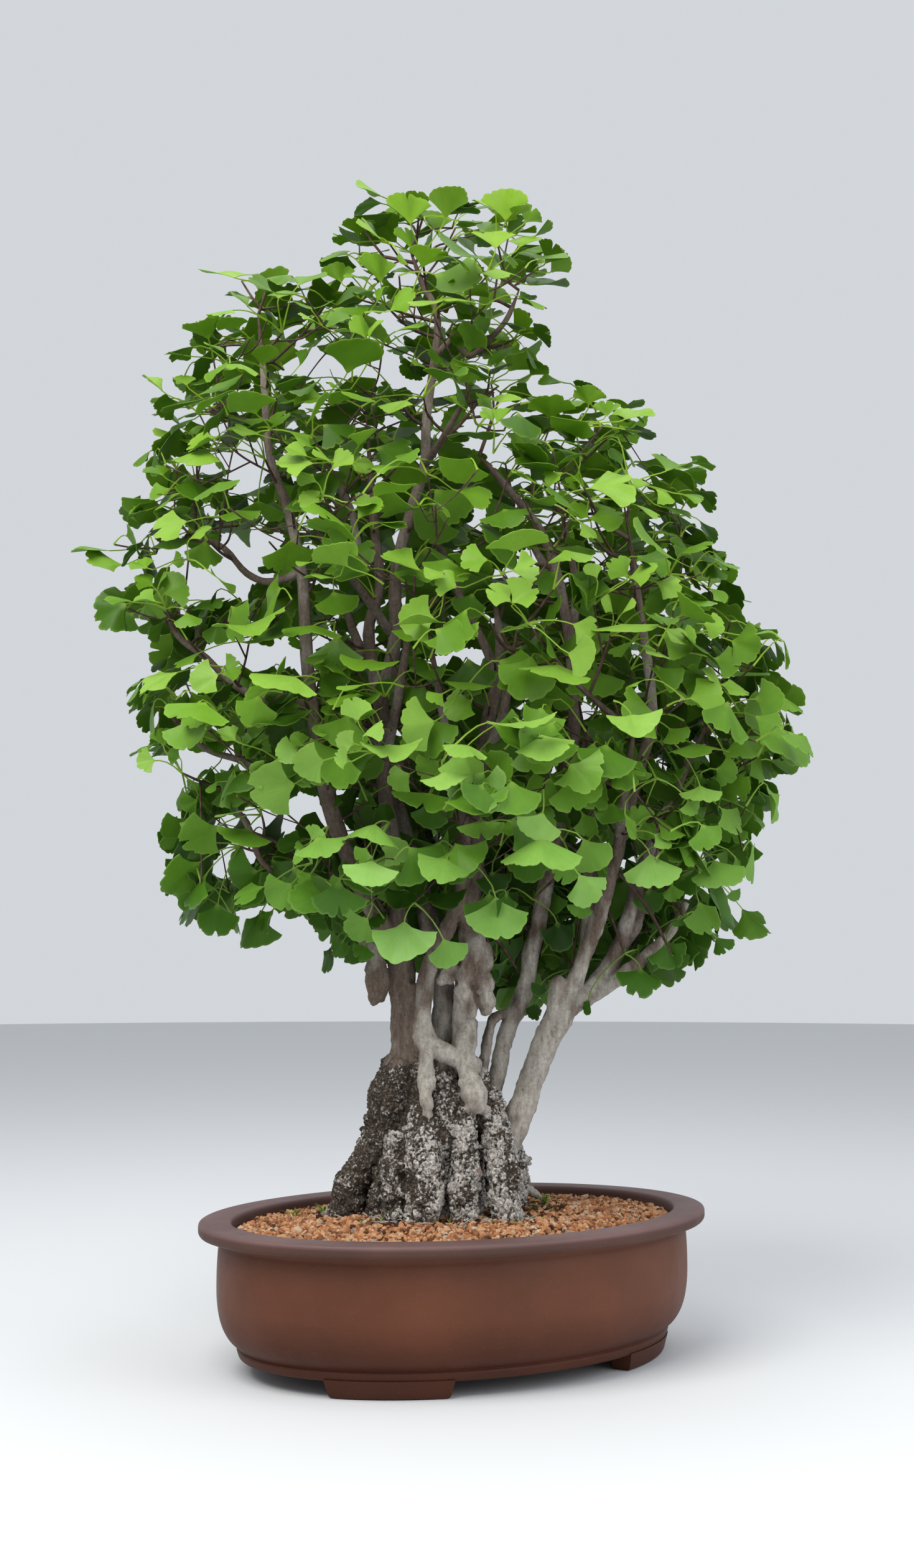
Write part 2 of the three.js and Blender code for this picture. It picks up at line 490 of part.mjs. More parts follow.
/** A twig from the nearest limb up to the middle of a shoot. */
function twigTo(shoot) {
  const tip = turned(...shoot);
  let nearest = { distance: Infinity };
  for (const limb of limbCurves) {
    for (let step = 3; step <= 12; step += 1) {
      const point = limb.curve.getPoint(step / 12);
      const distance = point.distanceTo(tip) + Math.max(0, point.z - tip.z + TWIG_FLOOR);
      if (distance < nearest.distance) nearest = { distance, point, radius: limb.radiusAt(step / 12) };
    }
  }
  const sag = new THREE.Vector3(0, 0, -TWIG_SAG * nearest.distance);
  const bend = nearest.point.clone().lerp(tip, 0.55).add(sag);
  const curve = new THREE.CatmullRomCurve3([nearest.point, bend, tip]);
  const thick = Math.min(TWIG_FOOT_RADIUS, nearest.radius);
  return { curve, radiusAt: (t) => THREE.MathUtils.lerp(thick, TWIG_TIP_RADIUS, t) };
}

const twigs = SHOOTS.map(twigTo);

function treeSolid() {
  const lobes = ROOT_LOBES.map((points) => limbSolid(limbCurve(points), LOBE_SIDES, points.length));
  const burls = BURLS.map((points) => limbSolid(limbCurve(points), LIMB_SIDES, points.length - 1));
  const limbs = limbCurves.map((limb, i) => limbSolid(limb, LIMB_SIDES, LIMBS[i].length - 1));
  const shoots = twigs.map((twig) => limbSolid(twig, TWIG_SIDES, 2));
  const aboveSoil = unite([...lobes, ...burls, ...limbs, ...shoots]).subtract(soilMound(GAP));
  return aboveSoil.add(rootBall(0));
}

// ---- Foliage ------------------------------------------------------------------------------

/** One fan-shaped leaf with its stalk, flat in XY, the stalk starting at the origin along +Y. */
function leafShape(scale) {
  const neck = PETIOLE_LENGTH;
  const half = (LEAF_WIDTH * scale) / 2;
  const length = LEAF_LENGTH * scale;
  const stalk = PETIOLE_WIDTH / 2;
  return new THREE.Shape([
    [-stalk, 0], [stalk, 0], [stalk, neck], [half, neck + 0.55 * length], [0.55 * half, neck + 0.97 * length],
    [-0.55 * half, neck + 0.97 * length], [-half, neck + 0.55 * length], [-stalk, neck],
  ].map(([x, y]) => new THREE.Vector2(x, y)));
}

function leafSolid(base, direction, facing, scale, thickness) {
  const across = direction.clone().cross(facing).normalize();
  const normal = across.clone().cross(direction).normalize();
  const matrix = new THREE.Matrix4().makeBasis(across, direction, normal).setPosition(base);
  const blade = new THREE.ExtrudeGeometry(leafShape(scale), { depth: thickness, bevelEnabled: false });
  return solidOf(blade.translate(0, 0, -thickness / 2).applyMatrix4(matrix));
}

/** The bud beyond a twig's end, from which a shoot's leaves spread. */
function budOf(twig) {
  const along = twig.curve.getTangent(1).normalize();
  const middle = twig.curve.getPoint(1).addScaledVector(along, GAP + HUB_LENGTH / 2);
  const body = new THREE.CylinderGeometry(HUB_RADIUS, HUB_RADIUS, HUB_LENGTH, LEAVES_PER_SHOOT);
  body.applyQuaternion(new THREE.Quaternion().setFromUnitVectors(new THREE.Vector3(0, 1, 0), along));
  return { along, middle, solid: solidOf(body.translate(middle.x, middle.y, middle.z)) };
}

/** One shoot: a bud and a whorl of leaves, clear of everything built so far. */
function shootSolid({ along, middle, solid }, random, obstacles) {
  const aside = Math.abs(along.z) < 0.9 ? upright : new THREE.Vector3(1, 0, 0);
  const side = aside.clone().cross(along).normalize();
  const other = along.clone().cross(side);
  let shoot = solid;
  for (let leaf = 0; leaf < LEAVES_PER_SHOOT; leaf += 1) {
    for (let attempt = 0; attempt < PLACING_TRIES; attempt += 1) {
      const angle = 2 * Math.PI * ((leaf + 0.5 + 0.3 * (random() - 0.5)) / LEAVES_PER_SHOOT);
      const spread = THREE.MathUtils.lerp(0.9, 1.7, random());
      const direction = side.clone().multiplyScalar(Math.cos(angle))
        .addScaledVector(other, Math.sin(angle))
        .multiplyScalar(Math.sin(spread))
        .addScaledVector(along, Math.cos(spread))
        .add(new THREE.Vector3(0, 0, -0.15))
        .normalize();
      const facing = upright.clone().addScaledVector(along, 0.8)
        .add(new THREE.Vector3(random() - 0.5, random() - 0.5, 0)).normalize();
      const scale = THREE.MathUtils.lerp(0.85, 1.1, random());
      const start = middle.clone().addScaledVector(direction, STALK_START);
      const clear = middle.clone().addScaledVector(direction, HUB_LENGTH);
      const guard = leafSolid(start, direction, facing, scale, LEAF_THICKNESS + 2 * GAP);
      const outerGuard = leafSolid(clear, direction, facing, scale, LEAF_THICKNESS + 2 * GAP);
      if (overlaps(outerGuard, shoot) || obstacles.some((obstacle) => overlaps(guard, obstacle))) continue;
      shoot = shoot.add(leafSolid(start, direction, facing, scale, LEAF_THICKNESS));
      break;
    }
  }
  return shoot;
}

/** A seedling that stands on the soil: a short stem and narrow blades. */
function weedSolid({ u, v, height, blades }) {
  const foot = turned(u, v, 0);
  const surface = soilHeight(foot.x, foot.y) + GAP;
  const stem = new THREE.CylinderGeometry(WEED_STEM_RADIUS, WEED_STEM_RADIUS, height, 5).rotateX(Math.PI / 2);
  let weed = solidOf(stem.translate(foot.x, foot.y, surface + height / 2));
  const outline = new THREE.Shape([
    [-0.2 * WEED_BLADE_WIDTH, 0], [0.2 * WEED_BLADE_WIDTH, 0],
    [0.5 * WEED_BLADE_WIDTH, 0.5 * WEED_BLADE_LENGTH], [0, WEED_BLADE_LENGTH],
    [-0.5 * WEED_BLADE_WIDTH, 0.5 * WEED_BLADE_LENGTH],
  ].map(([x, y]) => new THREE.Vector2(x, y)));
  for (let blade = 0; blade < blades; blade += 1) {
    const angle = (2 * Math.PI * blade) / blades;
    const direction = new THREE.Vector3(Math.cos(angle), Math.sin(angle), WEED_RISE).normalize();
    const across = direction.clone().cross(upright).normalize();
    const matrix = new THREE.Matrix4().makeBasis(across, direction, across.clone().cross(direction));
    matrix.setPosition(foot.x, foot.y, surface + height - WEED_STEM_RADIUS);
    const leaf = new THREE.ExtrudeGeometry(outline, { depth: WEED_BLADE_THICKNESS, bevelEnabled: false });
    weed = weed.add(solidOf(leaf.translate(0, 0, -WEED_BLADE_THICKNESS / 2).applyMatrix4(matrix)));
  }
  return weed;
}

// ---- Assembly -----------------------------------------------------------------------------

const clay = new THREE.MeshStandardMaterial({ color: 0x6f4538, roughness: 0.75, metalness: 0 });
const earth = new THREE.MeshStandardMaterial({ color: 0xa5623c, roughness: 1, metalness: 0 });
const bark = new THREE.MeshStandardMaterial({ color: 0x8f8779, roughness: 0.95, metalness: 0 });
const foliage = new THREE.MeshStandardMaterial({ color: 0x6ba032, roughness: 0.5, metalness: 0 });
const weedGreen = new THREE.MeshStandardMaterial({ color: 0x8fbf3f, roughness: 0.6, metalness: 0 });
const plastic = new THREE.MeshStandardMaterial({ color: 0x20241f, roughness: 0.6, metalness: 0 });
const wire = new THREE.MeshStandardMaterial({ color: 0x9a8a72, roughness: 0.4, metalness: 0.9 });

const bonsai = new THREE.Group();

function addPiece(name, geometry, material) {
  const mesh = new THREE.Mesh(geometry, material.clone());
  mesh.name = name;
  bonsai.add(mesh);
}

const tree = treeSolid();
const pockets = [rootBall(2 * GAP), screenPocket(HOLE_X), screenPocket(-HOLE_X)];
const soil = pockets.reduce((mass, pocket) => mass.subtract(pocket), soilMound(0));

addPiece('pot', geometryOf(potSolid()), clay);
addPiece('soil', geometryOf(soil), earth);
addPiece('trunk_and_branches', geometryOf(tree), bark);
for (const [side, x] of [['left', -HOLE_X], ['right', HOLE_X]]) {
  addPiece(`drainage_screen_${side}`, screenGeometry(x), plastic);
  addPiece(`screen_wire_${side}`, wireGeometry(x), wire);
}

const random = seededRandom(7);
const buds = twigs.map(budOf);
const shoots = buds.map((bud) => bud.solid);
buds.forEach((bud, i) => {
  const obstacles = [tree, ...shoots.filter((shoot, other) => other !== i)];
  shoots[i] = shootSolid(bud, random, obstacles);
  addPiece(`leaf_cluster_${String(i + 1).padStart(2, '0')}`, geometryOf(shoots[i]), foliage);
});

for (const weed of WEEDS) addPiece(weed.name, geometryOf(weedSolid(weed)), weedGreen);

export default bonsai;
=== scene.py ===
"""Ginkgo bonsai in an unglazed oval pot: the looks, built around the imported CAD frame.

The tree is described in its own front view, in millimetres: u to the right, v away from the viewer
and z up from the feet, with u = v = 0 at the pot's centre. row() turns that into the part's frame.
"""

import math
import random

import bmesh
import bpy
import numpy as np
from mathutils import Matrix, Vector, noise
from mathutils.bvhtree import BVHTree


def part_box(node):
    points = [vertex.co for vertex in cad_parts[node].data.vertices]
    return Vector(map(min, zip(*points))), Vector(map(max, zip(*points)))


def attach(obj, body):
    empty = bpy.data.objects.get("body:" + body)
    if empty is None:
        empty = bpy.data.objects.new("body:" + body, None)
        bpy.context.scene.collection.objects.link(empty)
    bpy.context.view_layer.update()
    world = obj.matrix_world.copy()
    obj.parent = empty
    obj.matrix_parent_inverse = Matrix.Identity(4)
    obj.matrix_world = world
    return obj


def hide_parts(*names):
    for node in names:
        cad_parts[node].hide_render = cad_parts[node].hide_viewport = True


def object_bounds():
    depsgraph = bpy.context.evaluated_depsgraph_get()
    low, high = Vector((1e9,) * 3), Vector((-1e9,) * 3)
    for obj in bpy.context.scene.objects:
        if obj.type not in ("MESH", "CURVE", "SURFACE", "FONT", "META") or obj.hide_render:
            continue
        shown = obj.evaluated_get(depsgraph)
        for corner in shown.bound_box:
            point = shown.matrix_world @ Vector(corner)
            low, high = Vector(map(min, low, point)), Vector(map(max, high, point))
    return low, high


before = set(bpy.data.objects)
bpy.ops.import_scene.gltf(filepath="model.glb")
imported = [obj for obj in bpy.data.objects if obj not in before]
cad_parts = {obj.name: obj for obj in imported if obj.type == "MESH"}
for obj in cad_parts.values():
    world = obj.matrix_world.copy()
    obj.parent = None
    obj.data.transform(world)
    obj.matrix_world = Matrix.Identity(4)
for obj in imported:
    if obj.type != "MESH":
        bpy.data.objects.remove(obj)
cad_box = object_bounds()

# ---- Driving dimensions, in millimetres and degrees ----------------------------------------------

MM = 0.001
TREE_TURN = 33
LIP_HALF_LENGTH = 213
LIP_HALF_WIDTH = 162
POT_HEIGHT = 113
FOOT_HEIGHT = 12
FOOT_ANGLE = 47
FOOT_HALF_SPAN = 17
FLOOR_TOP = 23
HOLE_X = 72
HOLE_RADIUS = 14
SOIL_HALF_LENGTH = 185
SOIL_HALF_WIDTH = 134
SOIL_EDGE_Z = 106
SOIL_CROWN_Z = 114

VIEW_DISTANCE = 1550
VIEW_HEIGHT = 330
VIEW_PITCH = 4.5
VIEW_SHIFT_U = -1.25
FOCAL_MM = 44.3
SENSOR_MM = 36
PICTURE_WIDTH, PICTURE_HEIGHT = 1469, 2520
FOCAL_PIXELS = FOCAL_MM / SENSOR_MM * PICTURE_HEIGHT

POT_LOW, POT_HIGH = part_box("pot")
POT_CENTRE = (POT_LOW + POT_HIGH) / 2

TURN_COS = math.cos(math.radians(TREE_TURN))
TURN_SIN = math.sin(math.radians(TREE_TURN))


def clamp(value, low=0.0, high=1.0):
    """The value, kept between low and high."""
    return min(high, max(low, value))


def unit(vector):
    """The vector at length 1."""
    vector = np.asarray(vector, float)
    return vector / (np.linalg.norm(vector) + 1e-12)


def row(points):
    """Points in the tree's front view, in millimetres, as an array in the part's frame, in metres."""
    p = np.asarray(points, float).reshape(-1, 3)
    x = p[:, 0] * TURN_COS + p[:, 1] * TURN_SIN
    y = -p[:, 0] * TURN_SIN + p[:, 1] * TURN_COS
    return np.stack([x * MM + POT_CENTRE.x, y * MM + POT_CENTRE.y, p[:, 2] * MM], axis=1)


def turned(x, y):
    """A place in the pot's axes as u and v in the tree's front view."""
    return x * TURN_COS - y * TURN_SIN, x * TURN_SIN + y * TURN_COS


def tree_view(points):
    """The opposite of row()."""
    p = np.asarray(points, float).reshape(-1, 3)
    x = (p[:, 0] - POT_CENTRE.x) / MM
    y = (p[:, 1] - POT_CENTRE.y) / MM
    return np.stack([*turned(x, y), p[:, 2] / MM], axis=1)


def from_picture(x, y, v):
    """The place in the tree's front view, at depth v, that shows at a pixel of the full picture."""
    right = (x - PICTURE_WIDTH / 2) / FOCAL_PIXELS
    up = (PICTURE_HEIGHT / 2 - y) / FOCAL_PIXELS
    pitch = math.radians(VIEW_PITCH)
    reach = (v + VIEW_DISTANCE) / (math.cos(pitch) - up * math.sin(pitch))
    rise = reach * (math.sin(pitch) + up * math.cos(pitch))
    return np.array([VIEW_SHIFT_U + reach * right, v, VIEW_HEIGHT + rise])


# ---- Camera, light and floor ---------------------------------------------------------------------

FLOOR_RADIUS = 6  # metres
FLOOR_SIDES = 96


def link_new(name, data):
    """A new object in the scene that shows the data."""
    made = bpy.data.objects.new(name, data)
    bpy.context.scene.collection.objects.link(made)
    return made


def make_camera():
    """The camera at the photograph's viewing angle."""
    data = bpy.data.cameras.new("camera")
    data.sensor_width = SENSOR_MM
    data.lens = FOCAL_MM
    camera = link_new("camera", data)
    camera.location = row([[VIEW_SHIFT_U, -VIEW_DISTANCE, VIEW_HEIGHT]])[0]
    ahead = math.radians(90 + VIEW_PITCH)
    camera.rotation_euler = (ahead, 0, -math.radians(TREE_TURN))
    bpy.context.scene.camera = camera


def area_light(name, place, target, size, power, colour):
    """A soft round light; its place and target are in the tree's front view, its size is in metres."""
    data = bpy.data.lights.new(name, "AREA")
    data.shape = "DISK"
    data.size = size
    data.energy = power
    data.color = colour
    light = link_new(name, data)
    light.location = Vector(row([place])[0])
    aim = Vector(row([target])[0]) - light.location
    light.rotation_euler = aim.to_track_quat("-Z", "Y").to_euler()


def make_studio():
    """A pale floor under plain soft light."""
    world = bpy.data.worlds.new("studio")
    bpy.context.scene.world = world
    world.use_nodes = True
    sky = world.node_tree.nodes["Background"]
    sky.inputs["Color"].default_value = (0.86, 0.9, 0.95, 1)
    sky.inputs["Strength"].default_value = 0.75
    area_light("key", (-700, -1100, 1900), (0, 0, 450), 1.5, 46, (1, 0.98, 0.95))
    area_light("fill", (1300, -900, 900), (0, 0, 400), 1.6, 12, (0.95, 0.97, 1))
    area_light("top", (100, 300, 2100), (0, 0, 500), 1.8, 12.5, (1, 1, 1))
    bpy.context.scene.view_settings.view_transform = "Standard"
    disc = bpy.data.meshes.new("floor")
    angles = np.linspace(0, 2 * math.pi, FLOOR_SIDES + 1)[:-1]
    ring = [(FLOOR_RADIUS * math.cos(a), FLOOR_RADIUS * math.sin(a), -0.5 * MM) for a in angles]
    disc.from_pydata(ring, [], [list(range(FLOOR_SIDES))])
    floor = link_new("floor", disc)
    paint = Shader("floor_paint")
    disc.materials.append(paint.surface((0.62, 0.63, 0.64), 0.9))


# ---- Mesh and node helpers -----------------------------------------------------------------------

class Sheet:
    """Collects vertices, faces and per-vertex values, and turns them into one mesh object."""

    def __init__(self, *value_names):
        self.points = []
        self.faces = []
        self.values = {name: [] for name in value_names}
        self.count = 0

    def add(self, points, *face_groups, **values):
        """Adds points with groups of faces, each group an array of faces with one number of corners."""
        self.points.append(points)
        self.faces += [np.asarray(faces) + self.count for faces in face_groups]
        self.count += len(points)
        for name, column in self.values.items():
            value = np.broadcast_to(np.asarray(values[name], float), (len(points),))
            column.append(value)

    def build(self, name, material, smooth=True):
        """The mesh object, in the scene, with the values as attributes of its points."""
        mesh = bpy.data.meshes.new(name)
        points = np.concatenate(self.points)
        sizes = np.concatenate([np.full(len(f), f.shape[1]) for f in self.faces])
        loops = np.concatenate([f.ravel() for f in self.faces])
        mesh.vertices.add(len(points))
        mesh.vertices.foreach_set("co", points.ravel())
        mesh.loops.add(len(loops))
        mesh.loops.foreach_set("vertex_index", loops)
        mesh.polygons.add(len(sizes))
        mesh.polygons.foreach_set("loop_start", np.concatenate([[0], np.cumsum(sizes)[:-1]]))
        mesh.polygons.foreach_set("loop_total", sizes)
        mesh.polygons.foreach_set("use_smooth", np.full(len(sizes), smooth))
        mesh.update(calc_edges=True)
        for value_name, column in self.values.items():
            layer = mesh.attributes.new(value_name, "FLOAT", "POINT")
            layer.data.foreach_set("value", np.concatenate(column))
        mesh.materials.append(material)
        return link_new(name, mesh)


def catmull(points, per_span):
    """Points on a smooth curve through the given rows, each row holding a place and a radius."""
    p = np.asarray(points, float)
    p = np.concatenate([[2 * p[0] - p[1]], p, [2 * p[-1] - p[-2]]])
    rows = []
    for i in range(1, len(p) - 2):
        for t in np.arange(per_span) / per_span:
            a, b, c, d = p[i - 1:i + 3]
            rows.append(0.5 * (2 * b + (c - a) * t + (2 * a - 5 * b + 4 * c - d) * t ** 2
                               + (3 * b - a - 3 * c + d) * t ** 3))
    rows.append(p[-2])
    return np.array(rows)


def ring_faces(rings, around):
    """The quads between closed rings of points, and the fans to the two end points that follow them."""
    i = np.arange(around)
    j = (i + 1) % around
    starts = np.arange(rings - 1)[:, None] * around
    quads = np.stack([starts + i, starts + j, starts + j + around, starts + i + around], axis=2)
    last, ends = (rings - 1) * around, rings * around
    low = np.stack([j, i, np.full(around, ends)], axis=1)
    high = np.stack([last + i, last + j, np.full(around, ends + 1)], axis=1)
    return quads.reshape(-1, 4), np.concatenate([low, high])


def tube(path, radii, sides):
    """The points of a tube along a path: a ring round each of its points, then its two ends."""
    tangent = np.gradient(path, axis=0)
    tangent /= np.linalg.norm(tangent, axis=1)[:, None] + 1e-12
    side = np.cross(tangent[0], [0.31, 0.87, 0.38])
    side /= np.linalg.norm(side)
    angles = np.linspace(0, 2 * math.pi, sides, endpoint=False)
    rings = []
    for i in range(len(path)):
        side = side - tangent[i] * side.dot(tangent[i])
        side /= np.linalg.norm(side)
        other = np.cross(tangent[i], side)
        ring = np.cos(angles)[:, None] * side + np.sin(angles)[:, None] * other
        rings.append(path[i] + radii[i] * ring)
    return np.concatenate(rings + [path[:1], path[-1:]])


def add_tube(sheet, path, radii, sides, **values):
    """Adds a closed tube; a value is one number, or one for each point of the path."""
    full = {name: np.concatenate([np.repeat(v, sides), [v[0], v[-1]]]) if np.ndim(v) else v
            for name, v in values.items()}
    sheet.add(tube(path, radii, sides), *ring_faces(len(path), sides), **full)


class Shader:
    """A new material's node tree, with a short call for each kind of node used here."""

    def __init__(self, name):
        self.material = bpy.data.materials.new(name)
        self.material.use_nodes = True
        self.tree = self.material.node_tree
        self.principled = self.tree.nodes["Principled BSDF"]

    def set(self, socket, value):
        """Links a socket to the value or stores the value in it."""
        if isinstance(value, bpy.types.NodeSocket):
            self.tree.links.new(value, socket)
        elif isinstance(value, tuple):
            socket.default_value = (*value, 1) if len(value) == 3 and socket.type == "RGBA" else value
        else:
            socket.default_value = value

    def value(self, name):
        """One of the values that a Sheet stores with its points."""
        made = self.tree.nodes.new("ShaderNodeAttribute")
        made.attribute_name = name
        return made.outputs["Fac"]

    def place(self, stretch):
        """Object space, in metres, with its axes scaled."""
        made = self.tree.nodes.new("ShaderNodeTexCoord").outputs["Object"]
        if stretch == (1, 1, 1):
            return made
        mapping = self.tree.nodes.new("ShaderNodeMapping")
        self.set(mapping.inputs["Vector"], made)
        self.set(mapping.inputs["Scale"], stretch)
        return mapping.outputs["Vector"]

    def height(self):
        """Metres above the feet, which is also where the object space's z starts."""
        made = self.tree.nodes.new("ShaderNodeSeparateXYZ")
        self.set(made.inputs[0], self.place((1, 1, 1)))
        return made.outputs["Z"]

    def noise(self, scale, detail=4, roughness=0.55, stretch=(1, 1, 1), distortion=0.0, vector=None):
        """Noise in object space, unless another vector is given."""
        made = self.tree.nodes.new("ShaderNodeTexNoise")
        self.set(made.inputs["Vector"], vector or self.place(stretch))
        self.set(made.inputs["Scale"], scale)
        self.set(made.inputs["Detail"], detail)
        self.set(made.inputs["Roughness"], roughness)
        self.set(made.inputs["Distortion"], distortion)
        return made.outputs["Fac"]

    def cells(self, scale):
        """How far the nearest cell's middle is, in object space."""
        made = self.tree.nodes.new("ShaderNodeTexVoronoi")
        self.set(made.inputs["Vector"], self.place((1, 1, 1)))
        self.set(made.inputs["Scale"], scale)
        return made.outputs["Distance"]

    def vector(self, x, y, z):
        """Three values as one vector."""
        made = self.tree.nodes.new("ShaderNodeCombineXYZ")
        for socket, value in zip(made.inputs, (x, y, z)):
            self.set(socket, value)
        return made.outputs["Vector"]

    def ramp(self, value, *stops):
        """A colour ramp; each stop is (position, colour), and a colour is (r, g, b) or one grey value."""
        made = self.tree.nodes.new("ShaderNodeValToRGB")
        elements = made.color_ramp.elements
        while len(elements) < len(stops):
            elements.new(0.5)
        for element, (position, colour) in zip(elements, stops):
            element.position = position
            element.color = (*colour, 1) if isinstance(colour, tuple) else (colour, colour, colour, 1)
        self.set(made.inputs["Fac"], value)
        return made.outputs["Color"]

    def mix(self, factor, first, second, blend="MIX"):
        """The first colour with this share of the second, or with another blend of the two."""
        made = self.tree.nodes.new("ShaderNodeMix")
        made.data_type = "RGBA"
        made.blend_type = blend
        colours = [socket for socket in made.inputs if socket.type == "RGBA"]
        self.set(made.inputs[0], factor)
        self.set(colours[0], first)
        self.set(colours[1], second)
        return next(socket for socket in made.outputs if socket.type == "RGBA")

    def math(self, operation, first, second=0.0):
        """The result of one operation on two values."""
        made = self.tree.nodes.new("ShaderNodeMath")
        made.operation = operation
        self.set(made.inputs[0], first)
        self.set(made.inputs[1], second)
        return made.outputs[0]

    def bump(self, height, distance, strength=1.0):
        """A normal from a height; the distance is in metres."""
        made = self.tree.nodes.new("ShaderNodeBump")
        self.set(made.inputs["Height"], height)
        self.set(made.inputs["Distance"], distance)
        self.set(made.inputs["Strength"], strength)
        return made.outputs["Normal"]

    def surface(self, colour, roughness, normal=None, specular=0.4, metallic=0.0):
        """Sets the look of the surface and gives the material."""
        self.set(self.principled.inputs["Base Color"], colour)
        self.set(self.principled.inputs["Roughness"], roughness)
        self.set(self.principled.inputs["Specular IOR Level"], specular)
        self.set(self.principled.inputs["Metallic"], metallic)
        if normal:
            self.set(self.principled.inputs["Normal"], normal)
        return self.material

    def glow(self, share, colour):
        """Lets a share of the light through the surface."""
        thin = self.tree.nodes.new("ShaderNodeBsdfTranslucent")
        both = self.tree.nodes.new("ShaderNodeMixShader")
        self.set(thin.inputs["Color"], colour)
        self.set(both.inputs[0], share)
        self.set(both.inputs[1], self.principled.outputs[0])
        self.set(both.inputs[2], thin.outputs[0])
        self.set(self.tree.nodes["Material Output"].inputs["Surface"], both.outputs[0])


# ---- Materials -----------------------------------------------------------------------------------

def clay_material():
    """Unglazed red-brown clay with faint clouds and fine grain; painted shade darkens it towards the feet,
    and the lip is darker on its outer face, with a painted sky reflection that makes it more purple and its
    top paler.
    """
    clay = Shader("clay")
    body = clay.ramp(clay.noise(8, 5), (0.3, (0.084, 0.0272, 0.013)), (0.7, (0.132, 0.0445, 0.0215)))
    height = clay.value("height")
    # Painted shade and reflection by height: darker towards the feet; on the lip more purple, darker on its
    # outer face and much paler on its top, a painted sky reflection.
    lip = clay.ramp(height, (0.0, (0.46, 0.38, 0.3)), (0.12, (0.52, 0.43, 0.36)), (0.3, (0.72, 0.6, 0.5)),
                    (0.5, (0.97, 0.95, 0.92)), (0.9, (1, 1, 1)), (0.925, (0.6, 0.78, 1.1)),
                    (0.965, (0.66, 0.92, 1.5)), (0.985, (1.12, 1.95, 3.8)))
    body = clay.mix(1.0, body, lip, "MULTIPLY")
    spots = clay.ramp(clay.noise(850, 2), (0.64, 0), (0.76, 1))
    body = clay.mix(clay.math("MULTIPLY", spots, 0.2), body, (0.26, 0.14, 0.09))
    grain = clay.math("ADD", clay.noise(650, 6), clay.math("MULTIPLY", clay.noise(70, 3), 1.6))
    rough = clay.ramp(clay.noise(22, 4), (0.3, 0.46), (0.7, 0.6))
    return clay.surface(body, rough, clay.bump(grain, 0.0005, 0.35), 0.22)


def bark_material():
    """Crusted lichen-grey bark on the root base, finer brown-grey bark on the stems, reddish twigs."""
    bark = Shader("bark")
    rugged, relief, young = bark.value("rugged"), bark.value("relief"), bark.value("young")
    fine = bark.noise(480, 6, 0.7)
    patches = bark.noise(52, 5, 0.62)
    lichen = bark.ramp(fine, (0.3, (0.14, 0.115, 0.092)), (0.5, (0.36, 0.33, 0.295)),
                       (0.7, (0.78, 0.755, 0.72)))
    crust = bark.ramp(fine, (0.35, (0.018, 0.014, 0.01)), (0.52, (0.06, 0.047, 0.035)),
                      (0.68, (0.24, 0.2, 0.165)))
    # The relief value brings its painted shade into the lichen's share: less lichen in the skin's hollows and
    # on the base's left slope and top.
    shade = bark.math("ADD", relief, bark.math("MULTIPLY", bark.math("SUBTRACT", patches, 0.5), 1.5))
    shade = bark.math("ADD", shade, bark.math("MULTIPLY", bark.math("SUBTRACT", fine, 0.5), 1.5))
    old = bark.mix(bark.ramp(shade, (0.38, 0), (0.66, 1)), crust, lichen)
    rust = bark.ramp(bark.noise(95, 3, 0.5, distortion=0.6), (0.66, 0), (0.73, 0.7))
    old = bark.mix(rust, old, (0.16, 0.06, 0.035))
    streaks = bark.noise(230, 6, 0.68, (1, 1, 0.3))
    fissure = bark.math("ADD", bark.math("MULTIPLY", streaks, 0.6), bark.math("MULTIPLY", fine, 0.4))
    pale = bark.ramp(fissure, (0.3, (0.07, 0.056, 0.042)), (0.42, (0.27, 0.243, 0.205)),
                     (0.68, (0.53, 0.495, 0.445)))
    brown = bark.ramp(fissure, (0.3, (0.05, 0.036, 0.028)), (0.5, (0.14, 0.105, 0.083)),
                      (0.7, (0.25, 0.2, 0.165)))
    stems = bark.mix(bark.ramp(relief, (0.45, 0), (0.75, 1)), brown, pale)
    stains = bark.ramp(bark.noise(38, 5, 0.6), (0.56, 0), (0.74, 0.4))
    stems = bark.mix(stains, stems, (0.09, 0.072, 0.055))
    twig = bark.ramp(bark.noise(170, 4), (0.3, (0.035, 0.022, 0.016)), (0.7, (0.12, 0.075, 0.055)))
    colour = bark.mix(young, bark.mix(rugged, stems, old), twig)
    crackle = bark.math("ADD", bark.math("MULTIPLY", bark.cells(360), 0.9), fine)
    height = bark.mix(rugged, fissure, crackle)
    return bark.surface(colour, 0.9, bark.bump(height, 0.0016, 0.8), 0.2)


